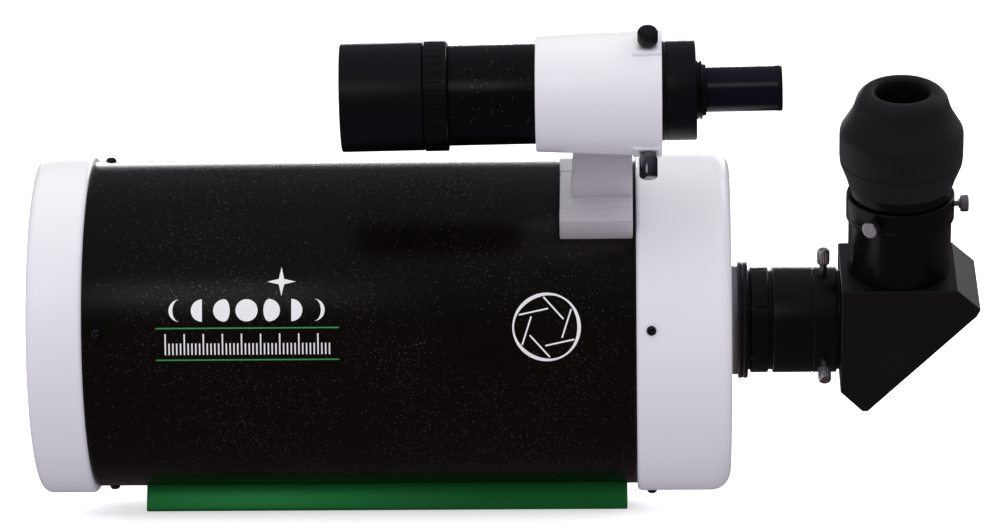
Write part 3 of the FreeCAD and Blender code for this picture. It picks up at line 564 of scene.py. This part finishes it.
low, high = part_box("visual_back")
flange, neck_end = low.x / mm, high.x / mm
back = turn("visual_back_flange", optics, x_axis, [
    (flange, 22), (flange, 31), (flange + 0.5, 31.5), (flange + 2.1, 31.5), (flange + 2.4, 31.2),
    (flange + 2.8, 31.2), (flange + 3.1, 31.5), (flange + 4.7, 31.5), (flange + 5.2, 31), (flange + 5.2, 27),
    (neck_end, 27), (neck_end, 24), (flange + 7.1, 24), (flange + 7.1, 22), (flange, 22)], sides=128, edge=0.15)
fit(back, "tube", "black_anodised", anodised, "visual_back")

low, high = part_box("coupling_ring")
grip, grip_end = low.x / mm, high.x / mm
coupling = turn("coupling_ring_grip", optics, x_axis, [
    (grip, 27.1), (grip, 27.9), (grip + 0.6, 28.5), (grip_end - 0.6, 28.5), (grip_end, 27.9),
    (grip_end, 27.1), (grip, 27.1)], sides=128, edge=0)
flute(coupling, optics, x_axis, 6, 29.3, 1.6, grip - 1, grip_end + 1, sides=20)
soften(coupling, 0.15)
fit(coupling, "lock_ring", "black_anodised", anodised, "coupling_ring")

adapter_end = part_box("eyepiece_adapter")[1].x / mm
adapter_r, two_inch = 28.55, 25.45
adapter = turn("two_inch_adapter", optics, x_axis, [
    (196, 21), (196, 24), (neck_end, 24), (neck_end, adapter_r - 0.5), (neck_end + 0.5, adapter_r),
    (adapter_end - 13.5, adapter_r), (adapter_end - 13.2, adapter_r - 0.25), (adapter_end - 12.8, adapter_r - 0.25),
    (adapter_end - 12.5, adapter_r), (adapter_end - 0.5, adapter_r), (adapter_end, adapter_r - 0.5),
    (adapter_end, two_inch), (adapter_end - 3.6, two_inch), (adapter_end - 3.6, 26.5),
    (adapter_end - 10.6, 26.5), (adapter_end - 10.6, two_inch), (209, two_inch), (209, 21), (196, 21)],
    sides=160, edge=0.12)
fit(adapter, "tube", "black_anodised", anodised, "eyepiece_adapter")


# Adapter thumbscrews
# Nickel-plated brass screws with long rounded grips, straight-knurled, that press the compression
# band on the barrel.
def out_of(joint_name, from_axis):
    """The point where a screw's line leaves an axis of revolution, and its direction outwards."""
    out = Vector(joint[joint_name]["axis"])
    at = Vector(joint[joint_name]["pos_m"])
    return at - out * (at - from_axis).dot(out), out


for name in ("upper", "lower"):
    centre, out = out_of("adapter_screw_" + name + "_turn", optics)
    screw = turn("adapter_thumbscrew_" + name + "_grip", centre, out, [
        (26.4, 2), (32.0, 2), (32.2, 2.7), (32.5, 3.1), (33.1, 3.5), (39.4, 3.5), (40.4, 3.2), (41.1, 2.4),
        (41.4, 1.2)], sides=72, solid=True, edge=0)
    flute(screw, centre, out, 18, 3.7, 0.42, 33.3, 39.8, sides=8)
    soften(screw, 0)
    fit(screw, "adapter_screw_" + name, "nickel_steel", steel, "adapter_thumbscrew_" + name)


# Dovetail bar
# A bar of extruded aluminium, milled to a dovetail, bead-blasted and anodised green. Four sunk cap
# screws hold it under the tube.
def block(name, frame, low, high):
    """A block between two corners in mm, in a piece's own frame."""
    bpy.ops.object.select_all(action="DESELECT")
    low, high = Vector(low), Vector(high)
    bpy.ops.mesh.primitive_cube_add(size=1)
    piece = bpy.context.object
    piece.name = name
    size = Matrix.Diagonal(((high - low) * mm).to_4d())
    size[3][3] = 1
    piece.matrix_world = frame @ Matrix.Translation((low + high) / 2 * mm) @ size
    bpy.ops.object.transform_apply(location=True, rotation=True, scale=True)
    return piece


def slice_off(piece, frame, point, outwards):
    """Saws the piece along a plane and closes the cut, keeping what lies behind it."""
    bpy.ops.object.select_all(action="DESELECT")
    piece.select_set(True)
    bpy.context.view_layer.objects.active = piece
    bpy.ops.object.mode_set(mode="EDIT")
    bpy.ops.mesh.select_all(action="SELECT")
    normal = (frame.to_3x3() @ Vector(outwards)).normalized()
    bpy.ops.mesh.bisect(plane_co=frame @ (Vector(point) * mm), plane_no=normal, use_fill=True, clear_outer=True)
    bpy.ops.object.mode_set(mode="OBJECT")


def anodised_green():
    """Dyed anodised aluminium over a bead-blasted surface: deep green, brighter where it faces the
    light, with a fine sparkle."""
    material, shader = new_material("green anodised aluminium")
    grain = object_noise(material, 2200.0)
    emboss(material, shader, grain, 0.15, 0.0002)
    vary_colour(material, shader, grain, linear("1d7a3a"), linear("2a9a4a"))
    shader.inputs["Metallic"].default_value = 0.7
    shader.inputs["Roughness"].default_value = 0.38
    return material


bench = Matrix.Identity(4)
low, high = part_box("dovetail_bar")
bar_end, bar_half, bar_top = high.x / mm, high.y / mm, high.z / mm
flank_low, flank_top = 1.2, 10
bar = block("dovetail_bar_green", bench, (-bar_end, -bar_half, 0), (bar_end, bar_half, bar_top))
for side in (-1, 1):
    slice_off(bar, bench, (0, side * bar_half, flank_low), (0, side, -1))
    slice_off(bar, bench, (0, side * bar_half, flank_low), (0, side * (flank_top - flank_low), bar_half - 19.4))
soften(bar, 0.5)
saddle = turn("saddle", optics, x_axis, [(-150, tube_r), (150, tube_r)], sides=256, solid=True, edge=0)
wells = [turn("well", (screw_x * mm, 0, 0), (0, 0, 1), [(-1, 5.2), (5.5, 5.2)], sides=40, solid=True, edge=0)
         for screw_x in (-104, -72, 72, 104)]
carve(bar, [saddle] + wells)
fit(bar, "tube", "green_anodised", anodised_green(), "dovetail_bar")


# Finder shoe
# A machined aluminium shoe, anodised silver and screwed to the tube, with a dovetail channel for
# the foot and a black-oxide lock screw in its wall.
def anodised_silver():
    """Silver anodised aluminium: a pale satin grey with faint milling lines 0.5 mm apart."""
    material, shader = new_material("silver anodised aluminium")
    place = add_node(material, "ShaderNodeTexCoord").outputs["Object"]
    stretch = add_node(material, "ShaderNodeMapping", {"Vector": place, "Scale": (120, 2000, 2000)})
    milled = add_node(material, "ShaderNodeTexNoise", {
        "Vector": stretch.outputs["Vector"], "Scale": 1.0, "Detail": 2.0})
    lines = milled.outputs["Fac"]
    vary_roughness(material, shader, lines, 0.38, 0.52)
    vary_colour(material, shader, lines, linear("d0cdd2"), linear("e2e0e4"))
    shader.inputs["Metallic"].default_value = 0.3
    return material


up = Vector(joint["upper_knob_turn"]["axis"])
across = Vector(joint["shoe_screw_turn"]["axis"])
support = Matrix((x_axis, across, up)).transposed().to_4x4()
support.translation = optics
shoe_front, shoe_rear, shoe_half, shoe_top, floor_r = 94.6, 132.9, 24, 97.4, 92
silver = anodised_silver()
shoe = block("finder_shoe_body", support, (shoe_front, -shoe_half, 84), (shoe_rear, shoe_half, shoe_top))
soften(shoe, 0.8)
groove_half = 17.3
channel = block("channel", support, (shoe_front - 2, -groove_half, floor_r),
                (shoe_rear + 2, groove_half, shoe_top + 2))
for side in (-1, 1):
    slice_off(channel, support, (0, side * groove_half, floor_r), (0, side * (shoe_top - floor_r), 3))
lock_at = support @ Vector((113.7 * mm, 0, 94.8 * mm))
lock_hole = turn("hole", lock_at, across, [(12, 2.6), (30, 2.6)], sides=32, solid=True, edge=0)
saddle = turn("saddle", optics, x_axis, [(60, tube_r), (150, tube_r)], sides=256, solid=True, edge=0)
for cutter in (channel, saddle, lock_hole):
    carve(shoe, [cutter])
fit(shoe, "tube", "silver_anodised", silver, "finder_shoe")

lock = turn("shoe_lock_screw_grip", lock_at, across, [
    (17.3, 2.5), (27.8, 2.5), (27.8, 5.2), (28.6, 6), (35.5, 6), (36.3, 5.2), (36.3, 0.3)],
    sides=72, solid=True, edge=0)
flute(lock, lock_at, across, 12, 6.5, 1.0, 27.6, 37, sides=10)
soften(lock, 0.12)
fit(lock, "shoe_screw", "black_anodised", anodised, "shoe_lock_screw")


# Finder stalk
# The foot that slides in the shoe and the flat stalk above it, milled in one and anodised silver.
# Its top is hollowed to the ring that it carries.
ring_front, ring_rear, ring_screw_x = 83.4, 148.4, 141.2
ring_front_r, ring_rear_r, finder_height = 30.2, 32.75, 166
foot_half, foot_low = 16.9, floor_r + 0.3
foot = block("finder_stalk_foot", support, (shoe_front + 0.4, -foot_half, foot_low), (shoe_rear, foot_half, shoe_top))
for side in (-1, 1):
    slice_off(foot, support, (0, side * foot_half, foot_low), (0, side * (shoe_top - floor_r - 0.3), 2.95))
soften(foot, 0.25)
web_front, web_half, web_top = 100.5, 5.8, 140
web = block("web", support, (web_front, -web_half, shoe_top - 0.4), (shoe_rear, web_half, web_top))
slice_off(web, support, (web_front, 0, shoe_top), (-(web_top - shoe_top), 0, 2.5))
soften(web, 0.5)
ring_middle = support @ Vector((0, 0, finder_height * mm))
hollow = turn("hollow", ring_middle, x_axis, [
    (ring_front - 4, ring_front_r), (ring_front, ring_front_r), (ring_rear - 1, ring_rear_r),
    (ring_rear + 2, ring_rear_r)], sides=160, solid=True, edge=0)
carve(web, [hollow])
fit(join([foot, web], "finder_stalk_foot"), "finder_bracket", "silver_anodised", silver, "finder_stalk")


# Finder ring
# A slightly conical cast ring in white enamel, with three bosses near its rear, the plunger's a
# little lower. The finder tilts in the O-ring at its front.
ring = turn("finder_ring_cone", ring_middle, x_axis, [
    (ring_front, 27.5), (ring_front, ring_front_r - 0.6), (ring_front + 0.2, ring_front_r - 0.2),
    (ring_front + 0.6, ring_front_r), (ring_rear - 1, ring_rear_r), (ring_rear - 0.3, ring_rear_r - 0.3),
    (ring_rear, ring_rear_r - 1), (ring_rear, 29.5), (87.4, 27.6), (87.4, 29.05), (84.6, 29.05),
    (84.6, 27.5), (ring_front, 27.5)], sides=192, edge=0)
fit(ring, "finder_bracket", "white_paint", white_paint, "finder_ring")
for name, out in (("upper", up), ("far", Vector(joint["far_knob_turn"]["axis"])),
                  ("plunger", -Vector(joint["plunger_slide"]["axis"]))):
    pad_frame = Matrix((x_axis, out.cross(x_axis), out)).transposed().to_4x4()
    pad_frame.translation = ring_middle
    pad_top = 32.8 if name == "plunger" else 33.6
    pad = block("finder_ring_boss_" + name, pad_frame, (133.2, -7, 30.5), (ring_rear - 0.4, 7, pad_top))
    soften(pad, 0.7)
    hole = turn("hole", ring_middle + x_axis * ring_screw_x * mm, out, [(28, 3.4), (36, 3.4)],
                sides=32, solid=True, edge=0)
    carve(pad, [hole])
    fit(pad, "finder_bracket", "white_paint", white_paint)


# Adjusting knobs and plunger
# Two black knurled knobs on steel screws and a spring plunger in a chromed cap tilt the finder.
# Each stands square on its boss.
for name in ("upper", "far"):
    centre, out = out_of(name + "_knob_turn", ring_middle)
    knob = turn("adjust_knob_" + name + "_grip", centre, out, [
        (35.2, 2.55), (35.2, 4.2), (35.6, 4.9), (36.4, 5.3), (41.6, 5.3), (42.5, 4.9), (43.1, 4.1), (43.4, 3.0),
        (43.4, 0.3)], sides=96, edge=0)
    flute(knob, centre, out, 20, 5.55, 0.5, 36.2, 42.3, sides=8)
    soften(knob, 0)
    fit(knob, name + "_knob", "knob_plastic", moulded, "adjust_knob_" + name)

out = -Vector(joint["plunger_slide"]["axis"])
centre = ring_middle + x_axis * ring_screw_x * mm
chrome = turned_metal("dark chromed steel", "7c7b80", 0.10, 0.2, 0.5, 0.03)
cap = turn("plunger_cap", centre, out, [
    (30, 2.05), (30, 3.4), (32.6, 3.4), (32.6, 4.3), (35, 4.3), (35.4, 4.75), (45, 4.75), (45.6, 4.5),
    (46, 3.9), (46, 0.3)], sides=64, edge=0.1)
fit(cap, "finder_bracket", "dark_chrome", chrome, "plunger_housing")


# Finder tube
# A 50 mm finder: a black aluminium tube in speckled enamel, with a ribbed lock ring and a powder-coated,
# screwed-on dew shield that focuses it. Its rear holds a short eyepiece.
finder_back = -Vector(joint["finder_focus_turn"]["axis"])
pivot = Vector(joint["finder_aim"]["pos_m"])
coat = satin_black("black powder-coated finder tube", "0a0a10", 0.3, 0.42, 0.9, 0.1)
# The finder eyepiece barrel is black anodised. Its blue cast is a painted bluish sheen.
painted_blue_sheen_black = satin_black("black anodised aluminium with painted blue sheen", "0b0c18", 0.2, 0.28, 0.4, 0.05)
speckled = flake_enamel("black speckled enamel", "0a0a0c", "8d8583", 0.9, 0.05)
barrel_end, tube_back = 124.4, 62.4
tube = turn("finder_tube_skin", pivot, finder_back, [
    (-71.5, 24), (-71.5, 25.6), (-47.6, 25.6), (-47.6, 26.05), (tube_back, 26.05), (tube_back, 24), (-71.5, 24)],
    sides=160, edge=0.2)
fit(tube, "finder", "finder_black", speckled, "finder_tube")

shield = turn("finder_dew_shield_skin", pivot, finder_back, [
    (-103.2, 26.9), (-103.2, 27.4), (-102.9, 27.9), (-102.3, 28.1), (-60.8, 28.1), (-60.4, 27.7), (-60.4, 25.7),
    (-73.3, 25.7), (-73.3, 26.3), (-102.6, 26.3), (-103.2, 26.9)], sides=160, edge=0)
fit(shield, "dew_shield", "finder_black", coat, "finder_dew_shield")

lock = turn("finder_lock_ring_grip", pivot, finder_back, [
    (-60.1, 25.7), (-60.1, 28.25), (-59.7, 28.65), (-48.3, 28.65), (-47.9, 28.25), (-47.9, 25.7), (-60.1, 25.7)],
    sides=144, edge=0)
flute(lock, pivot, finder_back, 36, 28.95, 0.6, -57.5, -50.5, sides=8)
soften(lock, 0.12)
fit(lock, "finder_lock", "finder_black", anodised, "finder_lock_ring")

rear = turn("finder_rear_cup", pivot, finder_back, [
    (tube_back - 7, 22.5), (tube_back - 7, 24), (tube_back, 24), (tube_back, 25.8), (tube_back + 1.4, 25.8),
    (tube_back + 1.7, 25.5), (tube_back + 2.1, 25.5), (tube_back + 2.4, 25.8), (tube_back + 17.1, 25.8),
    (tube_back + 17.6, 25.3), (tube_back + 17.6, 11.7), (tube_back + 13.6, 11.7), (tube_back + 13.6, 22.5),
    (tube_back - 7, 22.5)], sides=160, edge=0.15)
fit(rear, "finder", "finder_black", coat, "finder_rear_body")

collar_at = tube_back + 17.6
collar = turn("finder_eyepiece_collar_grip", pivot, finder_back, [
    (collar_at, 11.7), (collar_at, 15.2), (collar_at + 1.2, 15.2), (collar_at + 1.2, 14.5), (collar_at + 1.9, 14.5),
    (collar_at + 1.9, 15.2), (collar_at + 3.1, 15.2), (collar_at + 3.1, 13.6), (collar_at + 5.1, 13.2),
    (collar_at + 5.1, 11.7), (collar_at, 11.7)], sides=96, edge=0.12)
fit(collar, "finder", "black_anodised", anodised, "finder_eyepiece_collar")

barrel = turn("finder_eyepiece_barrel_tube", pivot, finder_back, [
    (74, 10.5), (74, 11.65), (121, 11.65), (121.4, 11.8), (124, 11.8), (barrel_end, 11.4), (barrel_end, 9.7),
    (123.2, 8.5), (122, 8.5), (122, 10.5), (74, 10.5)], sides=96, edge=0.12)
fit(barrel, "finder", "black_anodised", painted_blue_sheen_black, "finder_eyepiece_barrel")


# Diagonal
# A cast aluminium housing with a flat mirror under its back plate, powder-coated satin black. It
# slides into the adapter by its two-inch barrel.
def cast_black():
    """Satin black powder coat over a casting: fine orange peel 0.7 mm across, and
    patches that shine a little more."""
    material, shader = new_material("black powder-coated casting")
    peel = object_noise(material, 1400.0)
    emboss(material, shader, peel, 0.22, 0.0003)
    cloud = object_noise(material, 35.0, 4.0)
    vary_roughness(material, shader, cloud, 0.36, 0.5)
    vary_colour(material, shader, cloud, linear("0c0b0c"), linear("161416"))
    return material


eye_up = Vector(joint["eyepiece_slide"]["axis"])
roll = Matrix((x_axis, eye_up.cross(x_axis), eye_up)).transposed().to_4x4()
roll.translation = optics
eye_x, top_u = 275.1, 31.3
finish_nodes(cast_black(), "diagonal_housing", "diagonal_back_plate")

nose = turn("diagonal_nose_barrel", optics, x_axis, [
    (209.6, 23.4), (209.6, 24.9), (210.1, 25.4), (214, 25.4), (214.3, 25.1), (218.7, 25.1), (219, 25.4),
    (241.95, 25.4), (241.95, 27), (243.5, 27), (243.5, 23.4), (209.6, 23.4)], sides=128, edge=0.1)
fit(nose, "nosepiece", "black_anodised", anodised, "diagonal_nosepiece")


# Eyepiece holder
# A turned tube screwed into the diagonal, anodised black, with a thicker collar that carries the
# brass compression band and two disc-head thumbscrews.
eye_foot = roll @ Vector((eye_x * mm, 0, 0))
collar_low, collar_high = 62, 75.7
holder = turn("eyepiece_holder_tube", eye_foot, eye_up, [
    (24, 22.5), (24, 24.5), (top_u, 24.5), (top_u, 27), (top_u + 0.4, 27.4), (collar_low, 27.4),
    (collar_low, 28.35), (collar_low + 0.4, 28.75), (collar_low + 2.6, 28.75), (collar_low + 2.9, 28.45),
    (collar_low + 3.3, 28.45), (collar_low + 3.6, 28.75), (collar_high - 0.5, 28.75), (collar_high, 28.25),
    (collar_high, 26.05), (collar_high - 0.6, two_inch), (72.4, two_inch), (72.4, 26.5), (65.6, 26.5),
    (65.6, two_inch), (36, two_inch), (36, 22.5), (24, 22.5)], sides=160, edge=0.12)
fit(holder, "diagonal", "black_anodised", anodised, "diagonal_eyepiece_holder")

for name in ("front", "side"):
    centre, out = out_of("holder_screw_" + name + "_turn", eye_foot)
    screw = turn("diagonal_thumbscrew_" + name + "_disc", centre, out, [
        (26.4, 1.5), (31, 1.5), (31, 2.6), (31.9, 2.6), (31.9, 4.1), (32.2, 4.5), (35.7, 4.5), (36.2, 4.0),
        (36.2, 2.2), (36.0, 2.0), (36.0, 0.3)], sides=96, solid=True, edge=0)
    flute(screw, centre, out, 24, 4.72, 0.36, 31.6, 36.5, sides=8)
    soften(screw, 0)
    fit(screw, "holder_screw_" + name, "nickel_steel", steel, "diagonal_thumbscrew_" + name)


# Eyepiece
# A two-inch wide-field eyepiece: a chromed barrel, a black anodised lens body and a moulded rubber
# eyecup stretched over it.
bright = turned_metal("bright chromed barrel", "d6d4d3", 0.08, 0.18, 0.5, 0.03)
barrel = turn("eyepiece_chrome_barrel", eye_foot, eye_up, [
    (40, 23.6), (40, 24.8), (40.6, 25.4), (52, 25.4), (52.5, 24.9), (56, 24.9), (56.5, 25.4),
    (collar_high + 4, 25.4), (collar_high + 4, 23.6), (40, 23.6)], sides=128, edge=0.1)
fit(barrel, "eyepiece", "dark_chrome", bright, "eyepiece_barrel")

shoulder = collar_high + 0.15
body = turn("eyepiece_lens_body", eye_foot, eye_up, [
    (shoulder, 25.4), (shoulder, 26.2), (shoulder + 0.6, 26.8), (82, 26.8), (82, 24), (108, 24), (114, 19.5),
    (116.5, 19.5), (116.5, 13.2), (114.6, 13.2), (114.6, 15.5), (104, 15.5), (96, 20.5),
    (collar_high + 4, 20.5), (collar_high + 4, 25.4), (shoulder, 25.4)], sides=128, edge=0.15)
fit(body, "eyepiece", "black_anodised", anodised, "eyepiece_body")


def moulded_rubber():
    """Moulded silicone rubber: dull charcoal with faint bluish patches at random, which are painted sheen,
    and a fine matt grain 0.6 mm across."""
    material, shader = new_material("moulded eyecup rubber")
    grain = object_noise(material, 1600.0, 3.0)
    emboss(material, shader, grain, 0.25, 0.0003)
    # Random patches, a little bluer and rougher: the bluish tint is painted sheen.
    bluish_sheen_patches = object_noise(material, 70.0, 5.0)
    vary_colour(material, shader, bluish_sheen_patches, linear("0e0e11"), linear("18181d"))
    vary_roughness(material, shader, bluish_sheen_patches, 0.5, 0.68)
    shader.inputs["Specular IOR Level"].default_value = 0.3
    shader.inputs["Sheen Weight"].default_value = 0.04
    shader.inputs["Sheen Roughness"].default_value = 0.6
    return material


cup = turn("eyecup_rubber", eye_foot, eye_up, [
    (82, 24), (82, 27.6), (82.3, 27.95), (84, 28.4), (87, 29.4), (90, 30.6), (93, 31.8), (95, 32.4),
    (95.8, 32.5), (96.1, 32.1), (96.7, 32.1), (97.1, 32.6), (98.5, 32.75), (104, 32.8), (110, 32.8),
    (112, 32.7), (113.6, 32.3), (115, 31.6), (117, 30.4), (119.5, 28.9), (122, 27.4), (124.5, 26.2),
    (127, 25.3), (129.5, 24.6), (131.5, 23.9), (133.2, 22.8), (134.6, 21.4), (135.5, 20.0), (136, 18.4),
    (136, 17.2), (135.6, 15.9), (134.8, 14.9), (133.6, 14.6), (132, 15.2), (128, 17.5), (121, 23.5),
    (117, 26.5), (111, 26.5), (109, 24), (82, 24)], sides=128, edge=0)
fit(cup, "eyepiece", "rubber", moulded_rubber(), "eyecup")


# Tube markings
# Screen-printed generic art on the enamel: two green pin-stripes, a row of moon phases, a scale
# between the stripes, a star and an iris ring.
ink_lift = 0.06


def flat_shape(name, sides, radius, x, z, squeeze=1.0):
    """A printed disc facing the finder's side. Its +X half is squeezed to draw a moon's phase."""
    bpy.ops.object.select_all(action="DESELECT")
    bpy.ops.mesh.primitive_circle_add(vertices=sides, radius=radius * mm, fill_type="NGON",
                                      location=(x * mm, -0.2, axis_z + z * mm), rotation=(math.pi / 2, 0, 0))
    shape = bpy.context.object
    shape.name = name
    bpy.ops.object.transform_apply(location=True, rotation=True, scale=True)
    if squeeze != 1.0:
        for vertex in shape.data.vertices:
            if vertex.co.x > x * mm:
                vertex.co.x = x * mm + (vertex.co.x - x * mm) * squeeze
    return shape


def printed_bar(name, x0, x1, z0, z1, turned=0.0):
    """A printed line or band."""
    bpy.ops.object.select_all(action="DESELECT")
    bpy.ops.mesh.primitive_plane_add(size=1, location=((x0 + x1) / 2 * mm, -0.2, axis_z + (z0 + z1) / 2 * mm),
                                     rotation=(math.pi / 2, turned, 0))
    shape = bpy.context.object
    shape.name = name
    shape.scale = ((x1 - x0) * mm, (z1 - z0) * mm, 1)
    bpy.ops.object.transform_apply(location=True, rotation=True, scale=True)
    return shape


def print_on_tube(shapes, name, material):
    """Lays flat shapes on the tube's wall as a skin of ink."""
    art = join(shapes, name)
    bpy.ops.object.mode_set(mode="EDIT")
    bpy.ops.mesh.select_all(action="SELECT")
    bpy.ops.mesh.quads_convert_to_tris()
    bpy.ops.mesh.subdivide(number_cuts=3)
    bpy.ops.object.mode_set(mode="OBJECT")
    for vertex in art.data.vertices:
        height = vertex.co.z - axis_z
        vertex.co.y = -math.sqrt(((tube_r + ink_lift) * mm) ** 2 - height ** 2)
    bpy.ops.object.mode_set(mode="EDIT")
    bpy.ops.mesh.select_all(action="SELECT")
    bpy.ops.mesh.remove_doubles(threshold=1e-7)
    bpy.ops.mesh.normals_make_consistent(inside=False)
    bpy.ops.object.mode_set(mode="OBJECT")
    if sum(face.normal.y for face in art.data.polygons) > 0:
        art.data.flip_normals()
    fit(art, "tube", "tube_paint", material)


def ink(name, colour):
    """Screen-printed ink: an even, slightly soft-edged film with a silky shine."""
    material, shader = new_material(name)
    screen_marks = object_noise(material, 1800.0)
    vary_roughness(material, shader, screen_marks, 0.35, 0.55)
    shader.inputs["Base Color"].default_value = linear(colour)
    return material


stripe_start, stripe_end = -117, -21
green_ink = ink("green screen ink", "2fa04e")
white_ink = ink("white screen ink", "ffffff")
print_on_tube([printed_bar("line", stripe_start, stripe_end, 2.2, 2.9),
               printed_bar("line", stripe_start, stripe_end, -14.5, -13.8)], "green_pin_stripes", green_ink)
moons = []
moon_r, moon_z, first_moon, moon_step = 5.8, 11.8, -104.3, 11.7
for i, squeeze in enumerate((-0.65, 0.0, 0.5, 1.0, 0.5, 0.0, -0.65)):
    moon_x = first_moon + moon_step * i
    moon = flat_shape("moon", 48, moon_r, moon_x, moon_z, squeeze)
    if i > 3:
        for vertex in moon.data.vertices:
            vertex.co.x = 2 * moon_x * mm - vertex.co.x
    moons.append(moon)
tick_foot = -11.4
for i in range(44):
    tall = 11.0 if i % 5 == 0 else 6.0
    moons.append(printed_bar("tick", -112.3 + 2 * i, -111.6 + 2 * i, tick_foot, tick_foot + tall))
star_x, star_z, waist = -51, 26.5, 0.26
star = flat_shape("star", 8, 7.5, star_x, star_z)
for vertex in list(star.data.vertices)[1::2]:
    vertex.co.x = star_x * mm + waist * (vertex.co.x - star_x * mm)
    vertex.co.z = axis_z + star_z * mm + waist * (vertex.co.z - axis_z - star_z * mm)
moons.append(star)
print_on_tube(moons, "moon_phases_and_scale", white_ink)

badge_x, badge_z, badge_r, blade_r, blade_half = 87.6, 2.0, 17.9, 10.6, 7.8
blades = []
for i in range(60):
    angle = 2 * math.pi * i / 60
    width = 1.4 + 0.5 * math.cos(3 * angle)
    middle_x = badge_x + (badge_r - width / 2) * math.cos(angle)
    middle_z = badge_z + (badge_r - width / 2) * math.sin(angle)
    blades.append(printed_bar("arc", middle_x - width / 2, middle_x + width / 2,
                              middle_z - 1.0, middle_z + 1.0, -angle))
for i in range(6):
    angle = math.radians(60 * i + 10)
    middle_x, middle_z = badge_x + blade_r * math.cos(angle), badge_z + blade_r * math.sin(angle)
    blades.append(printed_bar("blade", middle_x - blade_half, middle_x + blade_half, middle_z - 0.4, middle_z + 0.4,
                              -(angle + math.radians(62))))
print_on_tube(blades, "iris_badge", white_ink)
